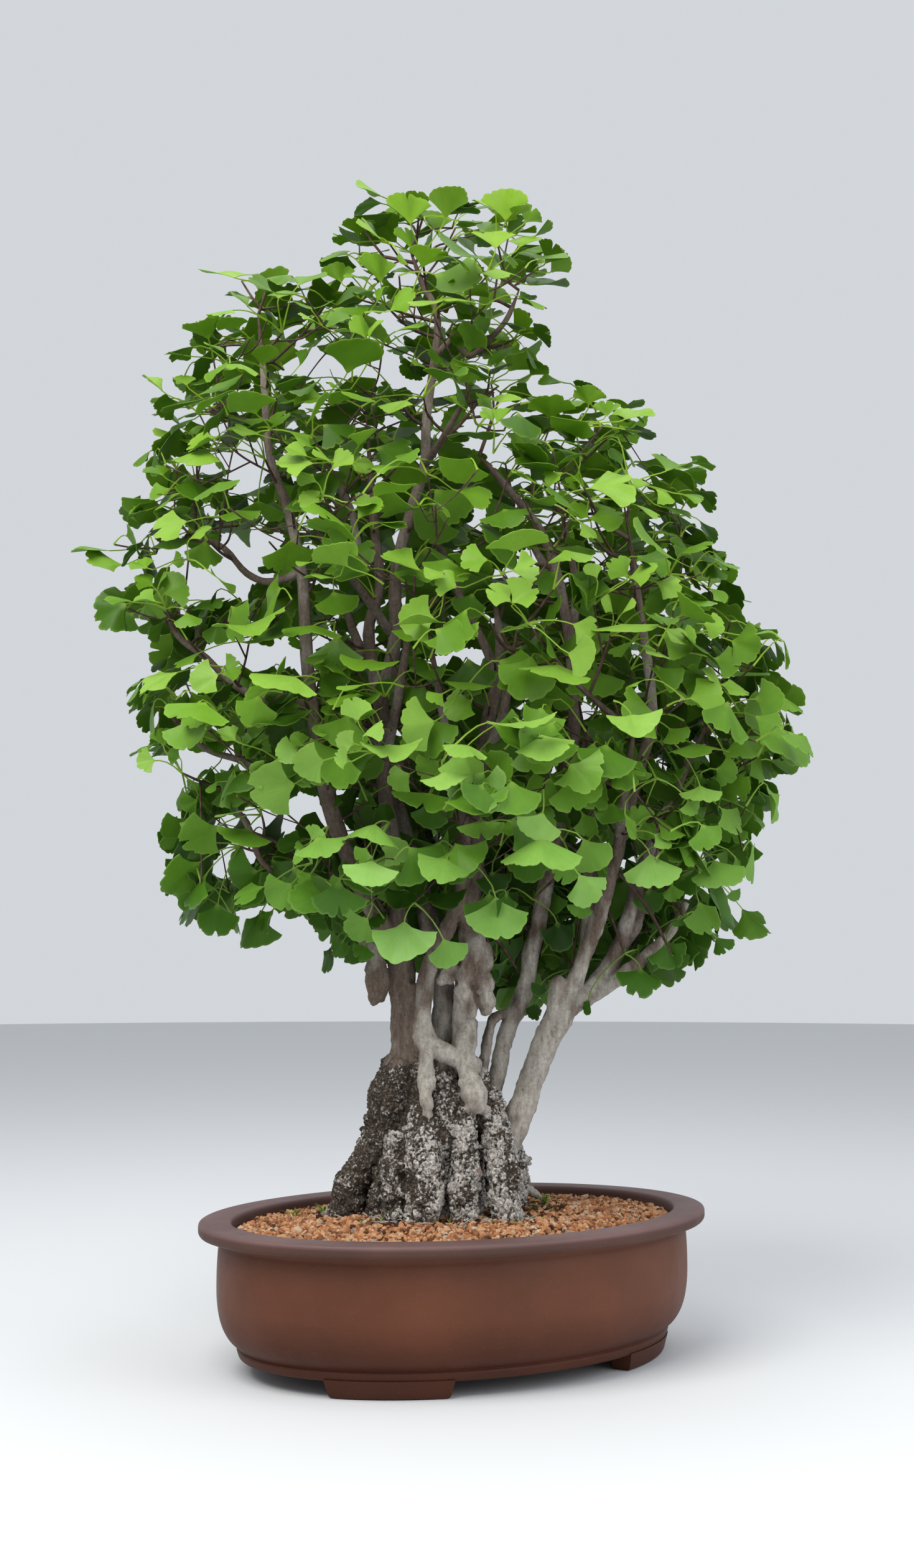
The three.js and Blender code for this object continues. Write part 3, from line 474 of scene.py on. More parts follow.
def leaf_material():
    """Both faces of a blade: streaks that fan out from the stalk, a pale neck, and a tint for each leaf,
    which carries painted shade; by height, painted shade darkens the upper leaves, a painted sheen makes the
    low ones bluer, and the upper ones let through more light as a painted backlight.
    """
    leaf = Shader("leaf")
    tint, fan, reach, under = (leaf.value(name) for name in ("tint", "fan", "reach", "under"))
    green = leaf.ramp(tint, (0.0, (0.022, 0.062, 0.004)), (0.35, (0.072, 0.186, 0.009)),
                      (0.7, (0.165, 0.345, 0.022)), (1.0, (0.3, 0.51, 0.08)))
    veins = leaf.noise(1.0, 3, 0.6, vector=leaf.vector(leaf.math("MULTIPLY", fan, 24.0),
                                                       leaf.math("MULTIPLY", reach, 1.3),
                                                       leaf.math("MULTIPLY", tint, 90.0)))
    streaks = leaf.ramp(veins, (0.32, (0.94, 0.95, 0.91)), (0.68, (1.06, 1.05, 1.08)))
    green = leaf.mix(1.0, green, streaks, "MULTIPLY")
    green = leaf.mix(leaf.ramp(reach, (0.0, 0.6), (0.3, 0)), green, (0.33, 0.48, 0.06))
    green = leaf.mix(leaf.ramp(reach, (0.93, 0), (1.0, 0.25)), green, (0.36, 0.53, 0.08))
    green = leaf.mix(leaf.math("MULTIPLY", under, 0.25), green, (0.14, 0.28, 0.04))
    mottle = leaf.ramp(leaf.noise(70, 4), (0.3, (0.9, 0.92, 0.86)), (0.7, (1.07, 1.05, 1.08)))
    green = leaf.mix(1.0, green, mottle, "MULTIPLY")
    height = leaf.height()
    # Painted light by height: painted shade darkens the upper leaves and makes them yellower, and a painted
    # sheen makes the low leaves bluer.
    painted_light_by_height = leaf.ramp(height, (0.34, (0.93, 1.0, 1.6)), (0.52, (1.0, 1.0, 1.0)), (0.9, (0.86, 0.85, 0.42)))
    green = leaf.mix(1.0, green, painted_light_by_height, "MULTIPLY")
    leaf.surface(green, 0.42, leaf.bump(veins, 0.0003, 0.25), 0.22)
    # Painted backlight: the leaves let through more light the higher they are.
    through = leaf.ramp(height, (0.4, (1.3, 1.1, 0.4)), (0.8, (1.8, 1.6, 0.45)))
    leaf.glow(0.28, leaf.mix(1.0, green, through, "MULTIPLY"))
    return leaf.material


def granule_material():
    """Baked-clay granules, from dark brown through orange to tan and grey, dusty all over."""
    soil = Shader("granules")
    colour = soil.ramp(soil.value("tint"), (0.0, (0.03, 0.016, 0.011)), (0.16, (0.085, 0.038, 0.022)),
                       (0.34, (0.25, 0.108, 0.054)), (0.58, (0.44, 0.208, 0.1)), (0.8, (0.53, 0.32, 0.18)),
                       (0.92, (0.5, 0.4, 0.3)), (1.0, (0.26, 0.235, 0.21)))
    grime = soil.ramp(soil.noise(650, 5, 0.7), (0.3, (0.68, 0.64, 0.58)), (0.7, (1.14, 1.1, 1.06)))
    colour = soil.mix(1.0, colour, grime, "MULTIPLY")
    return soil.surface(colour, 0.95, soil.bump(soil.noise(1500, 4), 0.0005, 0.6), 0.15)


def sprig_material():
    """Seedlings and moss: a fresh green, yellower or darker from blade to blade."""
    sprig = Shader("sprig")
    colour = sprig.ramp(sprig.value("tint"), (0.0, (0.07, 0.14, 0.02)), (0.5, (0.18, 0.34, 0.035)),
                        (1.0, (0.38, 0.56, 0.09)))
    drift = sprig.ramp(sprig.noise(400, 3), (0.3, (0.85, 0.88, 0.8)), (0.7, (1.1, 1.08, 1.1)))
    colour = sprig.mix(1.0, colour, drift, "MULTIPLY")
    sprig.surface(colour, 0.5, sprig.bump(sprig.noise(900, 3), 0.0002, 0.4), 0.3)
    sprig.glow(0.25, (0.35, 0.5, 0.08))
    return sprig.material


def cloudy_material(name, low, high, scale, roughness, metallic=0.0):
    """A plain material whose colour drifts between two values."""
    plain = Shader(name)
    colour = plain.ramp(plain.noise(scale, 4), (0.3, low), (0.7, high))
    return plain.surface(colour, roughness, plain.bump(plain.noise(4 * scale, 3), 0.0002, 0.4), 0.4, metallic)


# ---- Pot -----------------------------------------------------------------------------------------

POT_SIDES = 160
HOLE_SIDES = 40
PARALLEL_FROM = 150  # the half length from which on the ovals keep one inset from the lip all round


def oval(half_length, angle):
    """A point of the pot's oval with this half length."""
    difference = LIP_HALF_LENGTH - LIP_HALF_WIDTH
    half_width = half_length - difference * np.minimum(1, half_length / PARALLEL_FROM)
    return half_length * np.cos(angle), half_width * np.sin(angle)


def pot_point(x, y, z):
    """Points in the pot's axes, in millimetres, as an array in the part's frame, in metres."""
    x, y, z = np.broadcast_arrays(np.asarray(x, float), y, z)
    return np.stack([x * MM + POT_CENTRE.x, y * MM + POT_CENTRE.y, z * MM], axis=-1)


def round_corner(corner, before, after, radius, steps=5):
    """Points that round the corner of a profile."""
    corner, before, after = (np.asarray(p, float) for p in (corner, before, after))
    start = corner + (before - corner) / np.linalg.norm(before - corner) * radius
    end = corner + (after - corner) / np.linalg.norm(after - corner) * radius
    t = np.linspace(0, 1, steps)[:, None]
    return (1 - t) ** 2 * start + 2 * t * (1 - t) * corner + t ** 2 * end


def pot_profile():
    """[half length, z] from the middle of the underside, up the outside, over the lip and down inside."""
    side = catmull([[182, 20.5], [189.5, 27], [195.2, 38], [198.2, 54], [198.6, 74], [197.8, 92],
                    [196.6, 98.5]], 5)
    corners = [
        ([0, FOOT_HEIGHT], 0), ([181, FOOT_HEIGHT], 2.2), ([183.2, 18.6], 1.6), ([181.4, 20.2], 0.6),
        *[(p, 0) for p in side[1:]], ([197.4, 102.6], 1.8), ([211.2, 102.9], 1.6),
        ([LIP_HALF_LENGTH, 105.5], 1.4), ([LIP_HALF_LENGTH, POT_HEIGHT], 3.2), ([188, POT_HEIGHT], 2.2),
        ([186, 100], 3), ([182, FLOOR_TOP], 6), ([0, FLOOR_TOP], 0),
    ]
    points = [p for p, _ in corners]
    profile = []
    for i, (point, radius) in enumerate(corners):
        if radius:
            profile.extend(round_corner(point, points[i - 1], points[i + 1], radius))
        else:
            profile.append(point)
    return np.array(profile, float)


def make_pot(material):
    """The bowl as a turned oval profile, joined to its four feet and drilled for its two holes."""
    sheet = Sheet("height")
    profile = pot_profile()
    angles = np.linspace(0, 2 * math.pi, POT_SIDES, endpoint=False)
    x, y = oval(profile[1:-1, 0][:, None], angles[None, :])
    z = np.broadcast_to(profile[1:-1, 1][:, None], x.shape)
    wobble = np.array([[noise.noise((0.02 * a, 0.02 * b, 0.02 * c)) for a, b, c in zip(*ring)]
                       for ring in zip(x, y, z)])
    swell = 1 + 0.0012 * wobble
    points = np.concatenate([pot_point(x * swell, y * swell, z).reshape(-1, 3),
                             pot_point([0, 0], [0, 0], [profile[0, 1], profile[-1, 1]])])
    sheet.add(points, *ring_faces(len(profile) - 2, POT_SIDES), height=points[:, 2] / (POT_HEIGHT * MM))
    bowl = sheet.build("pot_body", material)
    for sign_x in (1, -1):
        for sign_y in (1, -1):
            cut_and_join(bowl, foot_mesh(sign_x, sign_y, material), "UNION")
    for x in (HOLE_X, -HOLE_X):
        drill = Sheet("height")
        through_floor = pot_point([x, x], [0, 0], [4, 40])
        add_tube(drill, through_floor, [HOLE_RADIUS * MM] * 2, HOLE_SIDES, height=0.1)
        cut_and_join(bowl, drill.build("drill", material), "DIFFERENCE")
    for polygon in bowl.data.polygons:
        polygon.use_smooth = True
    bowl.data.set_sharp_from_angle(angle=math.radians(42))
    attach(bowl, "root")
    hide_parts("pot")


def foot_mesh(sign_x, sign_y, material):
    """One foot: a curved block under the band, splayed and softly rounded at its lower edges."""
    middle = math.atan2(sign_y * math.sin(math.radians(FOOT_ANGLE)),
                        sign_x * math.cos(math.radians(FOOT_ANGLE)))
    spans, heights = 24, [0, 0.8, 2.2, 7, 11, 13.5]
    columns = np.linspace(-1, 1, spans + 1)
    rings = []
    for h in heights:
        low = 1 - h / FOOT_HEIGHT
        edge = max(0.0, 1 - h / 2.2) ** 2
        shrink = 1 - 0.055 * low - 0.02 * edge
        angle = middle + math.radians(FOOT_HALF_SPAN) * columns * shrink
        outer = 31 + 3 * low + 1.4 * edge
        inner = 48.5 - 1.4 * edge
        loop = [(a, outer) for a in angle] + [(a, inner) for a in angle[::-1]]
        x, y = np.array([((LIP_HALF_LENGTH - inwards) * math.cos(a), (LIP_HALF_WIDTH - inwards) * math.sin(a))
                         for a, inwards in loop]).T
        rings.append(pot_point(x, y, h))
    points = np.concatenate(rings)
    m = len(rings[0])
    s = np.arange(spans)
    caps = np.concatenate([np.stack([s, m - 1 - s, m - 2 - s, s + 1], axis=1),
                           np.stack([s, s + 1, m - 2 - s, m - 1 - s], axis=1) + (len(heights) - 1) * m])
    sheet = Sheet("height")
    sheet.add(points, ring_faces(len(heights), m)[0], caps, height=points[:, 2] / (POT_HEIGHT * MM))
    return sheet.build("foot", material)


def fix_normals(piece):
    """Turns every face of a closed mesh outwards."""
    mesh = bmesh.new()
    mesh.from_mesh(piece.data)
    bmesh.ops.recalc_face_normals(mesh, faces=mesh.faces)
    mesh.to_mesh(piece.data)
    mesh.free()


def cut_and_join(piece, tool, operation):
    """A boolean of two closed meshes, applied; the tool is removed."""
    fix_normals(piece)
    fix_normals(tool)
    modifier = piece.modifiers.new("boolean", "BOOLEAN")
    modifier.operation = operation
    modifier.object = tool
    modifier.solver = "EXACT"
    apply_modifiers(piece)
    bpy.data.objects.remove(tool)


def apply_modifiers(piece):
    """Puts the mesh that the modifiers make in the place of the piece's own."""
    bpy.context.view_layer.update()
    shape = piece.evaluated_get(bpy.context.evaluated_depsgraph_get())
    mesh = bpy.data.meshes.new_from_object(shape)
    piece.modifiers.clear()
    piece.data = mesh


# ---- Wood ----------------------------------------------------------------------------------------

# Each lobe, root, burl and limb is a list of [u, v, z, radius].
ROOT_LOBES = [
    # core
    [[-18, 4, 100, 42], [-18, 4, 150, 38], [-14, 3, 190, 38], [-18, 2, 218, 27], [-18, 2, 240, 19]],
    # left sloping root and its foot
    [[-38, 2, 228, 21], [-50, 0, 200, 22], [-54, -1, 176, 18.5], [-70, -3, 153, 15.5], [-85, -6, 132, 14.5],
     [-89, -6, 100, 14]],
    # in the hollow behind the first of the front lobes
    [[-48, -10, 172, 10], [-56, -16, 148, 8], [-62, -22, 126, 8], [-64, -24, 100, 8]],
    # front lobes, from left to right
    [[-46, -20, 172, 12], [-48, -34, 146, 10], [-50, -41, 122, 9], [-50, -43, 100, 10]],
    [[-26, -14, 200, 12], [-27, -30, 178, 14], [-27, -40, 154, 15.5], [-26, -46, 130, 14],
     [-29, -50, 112, 13], [-29, -50, 100, 12]],
    [[2, -14, 202, 11], [5, -30, 178, 10], [6, -38, 154, 9.5], [4, -44, 130, 10.5], [6, -46, 100, 10]],
    [[12, -2, 222, 12], [18, -6, 205, 13], [24, -14, 188, 13], [31, -24, 168, 13], [35, -32, 145, 12.5],
     [36, -36, 122, 12.5], [40, -39, 100, 13]],
    # right and back
    [[18, 12, 200, 12], [30, 16, 172, 14], [41, 20, 150, 14], [42, 22, 125, 13], [43, 24, 100, 13]],
    [[0, 26, 205, 14], [10, 40, 165, 16], [12, 48, 125, 15], [12, 50, 100, 15]],
    [[-26, 24, 205, 18], [-28, 42, 165, 18], [-30, 52, 130, 17], [-30, 54, 100, 16]],
    [[-50, 18, 205, 17], [-64, 32, 160, 15], [-74, 38, 125, 13], [-76, 40, 100, 12]],
]
SURFACE_ROOTS = [
    [[40, 34, 128, 6], [46, 48, 126, 4.2], [54, 62, 122.5, 3], [63, 73, 117.5, 2.6], [71, 80, 109, 1.5]],
    [[-78, 14, 120, 6], [-92, 10, 116, 4], [-102, 2, 113, 2.8], [-110, -8, 108, 1.6]],
]
BURLS = [
    # bark that flows from the slim stem over the top of the base
    [[-29, -14, 254, 8], [-24, -17, 245, 8], [-14, -18, 239, 8.5], [-4, -19, 235, 8.5], [5, -17, 231, 9],
     [12, -12, 226, 9]],
    [[7, -8, 264, 8], [6, -11, 253, 9], [4, -14, 243, 9.5], [1, -17, 234, 9]],
    # the two that hang from it
    [[-25, -17, 244, 6.4], [-25, -25, 233, 5.4], [-25, -30, 224, 6], [-25.5, -35, 214, 6.8],
     [-25.5, -37, 207, 5], [-25, -38, 202, 5.2], [-24.5, -38, 197, 3.4], [-24.5, -38, 192, 3.6],
     [-24.5, -37, 188, 2]],
    [[-2, -18, 236, 6], [2, -21, 231, 6.6], [6, -25, 223, 6.4], [9, -28, 216, 8.4], [11.5, -31, 208, 10],
     [14, -32, 200, 8.2], [15.5, -32, 192, 4]],
    # left burl, a drop against the leader
    [[-78, -10, 328, 3], [-71, -9, 320, 5], [-67, -8, 311, 7], [-65.5, -8, 303, 8.4], [-65, -9, 294, 9.6],
     [-64.5, -8, 286, 8], [-64, -8, 278, 4.6]],
    # the small knob and the two tips of the big burl
    [[-1, -12, 306, 6], [-8, -15, 299, 6.2], [-10, -16, 293, 4.6]],
    [[10, -8, 338, 9], [12, -13, 326, 9.5], [11.5, -17, 315, 9.4], [8, -17, 307, 7], [6, -18, 299, 8.6],
     [5.5, -17, 292, 6.4], [5.5, -17, 285, 7.6], [8, -17, 279, 5.8], [9, -16, 273, 6.4],
     [10, -16, 266, 3.4]],
    [[16, -9, 322, 9], [18, -13, 310, 9.4], [17, -15, 301, 7.4], [20, -16, 292, 8.4], [20, -15, 285, 6.4],
     [22, -14, 278, 7], [22, -13, 272, 4.8], [22.5, -13, 268, 3.2]],
]
TRUNKS = [
    # leader
    [[-36, 2, 216, 18], [-40, 1, 234, 15.5], [-42, 1, 250, 12.4], [-43, 2, 264, 11], [-45, 1, 284, 10.5],
     [-46, 0, 312, 11], [-50, 0, 345, 8.5], [-51, 0, 386, 7.5], [-60, -2, 456, 6.5], [-62, -2, 516, 6],
     [-52, 0, 566, 5.5], [-51, 2, 626, 5], [-40, 4, 672, 4.6], [-28, 4, 714, 4.2], [-26, 2, 756, 3.8],
     [-17, 0, 832, 3], [-30, 2, 866, 2.6], [-40, 2, 894, 2]],
    # the web between the leader and the slim stem
    [[-33, -2, 214, 14], [-32, -5, 238, 11], [-34, -6, 256, 9], [-36, -6, 274, 6.5], [-36, -6, 292, 4]],
    # left stem, out of the leader
    [[-46, 0, 300, 9], [-52, -5, 322, 8], [-66, -14, 348, 7.5], [-85, -24, 386, 7], [-105, -30, 446, 6.2],
     [-119, -34, 536, 5.2], [-124, -32, 612, 4.6], [-136, -28, 668, 4], [-152, -24, 716, 3.5],
     [-158, -14, 782, 3], [-164, -6, 836, 2.2]],
    # slim front stem that crosses the burl stem
    [[-12, -8, 226, 10], [-21, -12, 240, 9], [-27, -13, 252, 8], [-29, -16, 266, 7.2],
     [-27.5, -15, 282, 6.8], [-25, -14, 298, 6.6], [-20, -14, 314, 6.2], [-9, -16, 336, 5.8],
     [1, -18, 360, 5.2], [6, -24, 392, 4.6], [2, -36, 440, 4], [-12, -56, 500, 3.2], [-22, -84, 560, 2.4]],
    # centre stem, behind
    [[-16, 10, 236, 13], [-14, 9, 256, 9], [-12, 8, 280, 9], [-16, 13, 306, 9], [-30, 20, 366, 7.5],
     [-50, 28, 436, 6.5], [-62, 36, 506, 6], [-75, 46, 580, 5], [-66, 50, 622, 4.5], [-71, 52, 676, 4],
     [-78, 52, 770, 2.2]],
    # burl stem
    [[0, -2, 222, 13], [3.6, -6, 245, 9.6], [4, -7, 266, 9.4], [7, -8, 290, 10], [11, -8, 322, 11],
     [8, -8, 350, 9], [12, -10, 380, 8], [15, -14, 426, 7.5], [23, -24, 498, 6], [31, -30, 530, 5],
     [33, -42, 560, 4], [27, -56, 600, 2.6]],
    # right stem, behind
    [[18, 10, 182, 12], [28, 12, 204, 7], [34, 14, 232, 6.6], [38, 15, 248, 6.8], [43, 17, 262, 7],
     [51, 19, 280, 7.2], [56, 20, 296, 6.8], [59, 22, 318, 7], [64, 23, 336, 6.6], [69, 25, 360, 6.4],
     [76, 27, 392, 6.2], [87, 30, 442, 6], [96, 34, 512, 5.6], [90, 38, 590, 5], [72, 40, 660, 4],
     [38, 22, 702, 3.4], [17, 14, 724, 2.6]],
    # thin stem between them
    [[16, 10, 214, 5], [21, 12, 232, 3.6], [24, 13, 250, 3.4], [28, 14, 263, 3.4], [38, 16, 268, 3.6],
     [45, 17, 270, 4]],
    # leaning right stem
    [[34, 2, 160, 13], [43, 3, 178, 12], [50, 3, 192, 11], [57, 2, 212, 10], [66, 1, 236, 10],
     [74, 0, 254, 10.6], [82, -2, 270, 11], [88, -3, 284, 8.5], [95, -4, 300, 6.6], [101, -5, 317, 6],
     [108, -8, 334, 5.8], [114, -12, 352, 5.4], [126, -20, 396, 5], [146, -26, 470, 4.6],
     [154, -29, 510, 4.2], [142, -34, 600, 3.6], [134, -38, 655, 2.6]],
    # its rounded stub
    [[76, -3, 258, 8], [77.5, -5, 274, 7], [78.5, -6, 287, 6.4], [79.5, -6.5, 292, 6], [80, -6.8, 296, 4.6],
     [80.3, -7, 298.4, 2]],
    [[97, -4, 304, 5], [101, -2, 320, 5], [104, 1, 346, 5], [106, 4, 400, 4.6], [112, 10, 460, 3.4]],
    [[86, -2, 272, 9], [103, 1, 284, 7.6], [116, 4, 299, 7], [128, 6, 318, 6.4], [135, 8, 338, 6],
     [141, 9, 358, 5.6], [150, 10, 388, 5.2], [168, 12, 430, 4.6], [206, 10, 510, 3]],
    [[98, 0, 278, 6.5], [115, 0, 288, 6], [128, -1, 297, 5.4], [141, -2, 307, 5], [151, -2, 315, 4.6],
     [159, -2, 322, 4.2], [167, -3, 331, 3.6], [174, -3, 341, 3], [182, -4, 356, 2.2]],
    [[127, 5, 314, 4.6], [137, 10, 328, 4.2], [146, 14, 344, 4], [156, 20, 380, 3.4], [170, 34, 430, 2.4]],
]
BRANCHES = [
    # twigs seen against the light between the stems
    [[46, 17, 276, 3.6], [38, 16, 290, 3], [36, 16, 307, 2.8], [39, 18, 322, 2.4], [44, 26, 348, 2]],
    [[42, 18, 248, 3.8], [56, 20, 262, 3.4], [68, 22, 276, 3.2], [74, 24, 292, 2.8], [90, 30, 326, 2.2]],
    # low left, above the burl
    [[-50, -2, 312, 4.6], [-62, -6, 316, 3.8], [-76, -12, 322, 3.2], [-92, -18, 326, 2.4]],
    [[-76, -20, 356, 4.2], [-108, -26, 352, 3.8], [-124, -26, 362, 3.6], [-144, -24, 378, 3.2],
     [-158, -22, 392, 3], [-168, -20, 418, 2.6], [-190, -18, 448, 2]],
    [[-113, -31, 486, 3.8], [-140, -28, 466, 3.2], [-156, -24, 460, 3], [-176, -20, 470, 2.6],
     [-200, -16, 478, 2.4], [-222, -12, 496, 2]],
    [[-119, -33, 512, 4.2], [-152, -30, 516, 3.6], [-180, -24, 530, 3.2], [-202, -18, 552, 2.8],
     [-225, -14, 570, 2.6], [-246, -10, 606, 2]],
    [[-126, -31, 618, 3.8], [-150, -26, 612, 3], [-170, -20, 620, 2.8], [-196, -12, 646, 2.4],
     [-240, -8, 650, 2]],
    # top right fork
    [[-18, 0, 806, 3.2], [-4, 4, 818, 2.8], [9, 6, 806, 2.6], [27, 8, 822, 2.4], [40, 8, 838, 2.2],
     [50, 8, 862, 2]],
    # forks of the front branches, seen between the leaves
    [[-86, -44, 617, 3.4], [-80, -46, 634, 3.2], [-82, -48, 650, 3], [-86, -50, 668, 2.8],
     [-98, -54, 688, 2.6], [-104, -56, 700, 2]],
    [[31, -32, 536, 4], [18, -30, 566, 3.4], [4, -32, 592, 3], [-6, -38, 617, 2.8], [-12, -42, 632, 2.6],
     [-24, -46, 646, 2.4], [-30, -48, 652, 2]],
    [[92, 36, 560, 4], [96, 20, 600, 3.4], [94, 10, 630, 3], [88, 4, 655, 2.6], [84, 0, 672, 2.2]],
    # to the back
    [[-56, 4, 430, 5], [-50, 30, 460, 4], [-40, 62, 500, 3.4], [-24, 96, 545, 2.4]],
    [[86, 30, 440, 5], [100, 60, 470, 4], [120, 88, 530, 2.6]],
    [[-68, 42, 540, 4.5], [-90, 70, 590, 3.6], [-108, 96, 660, 2.4]],
    [[80, 40, 625, 4], [66, 66, 655, 3.2], [48, 92, 700, 2.2]],
    # to the front
    [[20, -20, 470, 5], [34, -56, 500, 4], [44, -92, 560, 2.6]],
    [[-60, -2, 470, 5], [-48, -40, 515, 4], [-34, -86, 590, 2.6]],
    [[-55, 0, 575, 4], [-79, -30, 606, 3.4], [-97, -56, 626, 3], [-118, -78, 654, 2.4]],
    [[124, -18, 390, 5], [128, -54, 430, 4], [136, -84, 500, 2.6]],
    [[-28, 4, 714, 4], [-10, -36, 730, 3], [10, -64, 760, 2.2]],
]

SKIN_TOP_Z = 420  # the stems are part of the skin up to here
SKIN_BOTTOM_Z = SOIL_EDGE_Z - 8
SKIN_TRIANGLES = 100000
VOXEL = 1.35
GROOVE_ROUNDS = 24
RUGGED_TOP_Z = 246
ROOT_THREADS = 26


def skeleton():
    """Every limb as a smooth dense path of [u, v, z, radius]."""
    return [catmull(limb, 5) for limb in TRUNKS + BRANCHES]


def lumps(rng, lobes, count, smallest, largest, scatter):
    """Small knobs over the sides of each lobe, as [u, v, z, radius]."""
    knobs = []
    for lobe in lobes:
        for _ in range(count):
            u, v, z, radius = lobe[rng.randrange(len(lobe))]
            angle = rng.uniform(0, 2 * math.pi)
            size = rng.uniform(smallest, largest)
            away = radius - 0.4 * size
            shift = rng.uniform(-scatter, scatter)
            knobs.append([u + away * math.cos(angle), v + away * math.sin(angle), z + shift, size])
    return knobs


GOLDEN = (1 + 5 ** 0.5) / 2
ICO_POINTS = np.array([(-1, GOLDEN, 0), (1, GOLDEN, 0), (-1, -GOLDEN, 0), (1, -GOLDEN, 0),
                       (0, -1, GOLDEN), (0, 1, GOLDEN), (0, -1, -GOLDEN), (0, 1, -GOLDEN),
                       (GOLDEN, 0, -1), (GOLDEN, 0, 1), (-GOLDEN, 0, -1), (-GOLDEN, 0, 1)])
ICO_POINTS /= math.hypot(1, GOLDEN)
ICO_FACES = np.array([(0, 11, 5), (0, 5, 1), (0, 1, 7), (0, 7, 10), (0, 10, 11), (1, 5, 9), (5, 11, 4),
                      (11, 10, 2), (10, 7, 6), (7, 1, 8), (3, 9, 4), (3, 4, 2), (3, 2, 6), (3, 6, 8),
                      (3, 8, 9), (4, 9, 5), (2, 4, 11), (6, 2, 10), (8, 6, 7), (9, 8, 1)])


def mesh_values(items, name, width=1, kind=float):
    """One property of all of a mesh's vertices, faces or attribute values, as rows of this width."""
    values = np.empty(len(items) * width, kind)
    items.foreach_get(name, values)
    return values.reshape(-1, width) if width > 1 else values


def make_wood(material, twigs):
    """The lower tree is one skin over lobes, burls and stems; the limbs above grow out of it as tubes."""
    rng = random.Random(11)
    limbs = skeleton()
    wood = thinned(bark_skin(rng, limbs, material), SKIN_TRIANGLES)
    for path in limbs:
        high = path[path[:, 2] > SKIN_TOP_Z - 42] if path[0, 2] < SKIN_TOP_Z - 42 else path
        if len(high) > 2:
            add_limb(wood, high, 8)
    for path in twigs:
        add_limb(wood, path, 4)
    for path in root_threads(rng):
        add_tube(wood, row(path[:, :3]), path[:, 3] * MM, 5, rugged=0.0, relief=0.72, young=0.0)
    piece = wood.build("trunk_and_branches_bark", material)
    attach(piece, "root")
    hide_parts("trunk_and_branches")


def core_skin(rng, lobes, burls, roots, stems, material):
    """One smooth even skin over the lobes, burls, roots and stems, with small knobs on them."""
    core = Sheet()
    for path in lobes + burls + roots:
        add_tube(core, row(path[:, :3]), path[:, 3] * MM, 16)
    for path in stems:
        if len(path) > 2:
            taper = 1 - 0.45 * np.clip((path[:, 2] - SKIN_TOP_Z + 30) / 30, 0, 1)
            add_tube(core, row(path[:, :3]), path[:, 3] * taper * MM, 14)
    for u, v, z, size in lumps(rng, lobes, 60, 2.5, 7, 8) + lumps(rng, burls, 8, 2.2, 4.4, 2):
        stretch = np.array([rng.uniform(0.7, 1.1), rng.uniform(0.7, 1.1), rng.uniform(0.8, 1.5)])
        core.add(row(ICO_POINTS * stretch * size + [u, v, z]), ICO_FACES)
    skin = core.build("skin", material)
    remesh = skin.modifiers.new("remesh", "REMESH")
    remesh.mode = "VOXEL"
    remesh.voxel_size = VOXEL * MM
    smooth = skin.modifiers.new("smooth", "SMOOTH")
    smooth.factor = 0.5
    smooth.iterations = 4
    apply_modifiers(skin)
    return skin


def bark_skin(rng, limbs, material):
    """The skin above the soil with the bark's relief, every vertex with its kind of bark and its paleness,
    which holds painted shade in the hollows.
    """
    lobes, burls, roots = ([catmull(path, per_span) for path in paths]
                           for paths, per_span in ((ROOT_LOBES, 6), (BURLS, 5), (SURFACE_ROOTS, 5)))
    stems = [path[path[:, 2] < SKIN_TOP_Z] for path in limbs[:len(TRUNKS)]]
    skin = core_skin(rng, lobes, burls, roots, stems, material)
    mesh = skin.data
    place = mesh_values(mesh.vertices, "co", 3)
    normal = mesh_values(mesh.vertices, "normal", 3)
    faces = mesh_values(mesh.polygons, "vertices", 4, int)
    local = tree_view(place)
    rugged = ruggedness(local, lobes, burls + stems + roots)
    relief = np.array([bark_relief(p, r) for p, r in zip(local, rugged)])
    proud = local - smoothed(local, mesh, GROOVE_ROUNDS)
    outward = tree_view(place + normal * MM) - local
    ridge = (proud * outward).sum(axis=1)
    on_burl = np.clip(1 - clearance(local, burls) / 4, 0, 1)
    # Painted shade: the paleness drops in the hollows between lobes and rises a little on their ridges; the
    # burls' bark is paler.
    relief[:, 1] += (1 - rugged) * 0.14 * on_burl + np.clip(0.18 * ridge, -0.7, 0.05)
    relief[:, 0] += np.clip(ridge, -4, 4) * (0.4 + 0.2 * rugged)
    place = place + normal * (relief[:, :1] * MM)
    faces = faces[(local[:, 2] > SKIN_BOTTOM_Z)[faces].all(axis=1)]
    used = np.unique(faces)
    renumber = np.full(len(place), -1)
    renumber[used] = np.arange(len(used))
    bpy.data.objects.remove(skin)
    fine = Sheet("rugged", "relief", "young")
    fine.add(place[used], renumber[faces], rugged=rugged[used], relief=relief[used, 1], young=0.0)
    return fine.build("fine_skin", material)


def thinned(piece, triangles):
    """A new sheet with the piece's surface in fewer triangles, small ones only where it is uneven."""
    decimate = piece.modifiers.new("decimate", "DECIMATE")
    decimate.ratio = triangles / (2 * len(piece.data.polygons))
    decimate.use_collapse_triangulate = True
    apply_modifiers(piece)
    mesh = piece.data
    values = {name: mesh_values(mesh.attributes[name].data, "value")
              for name in ("rugged", "relief", "young")}
    sheet = Sheet(*values)
    sheet.add(mesh_values(mesh.vertices, "co", 3), mesh_values(mesh.polygons, "vertices", 3, int), **values)
    bpy.data.objects.remove(piece)
    return sheet


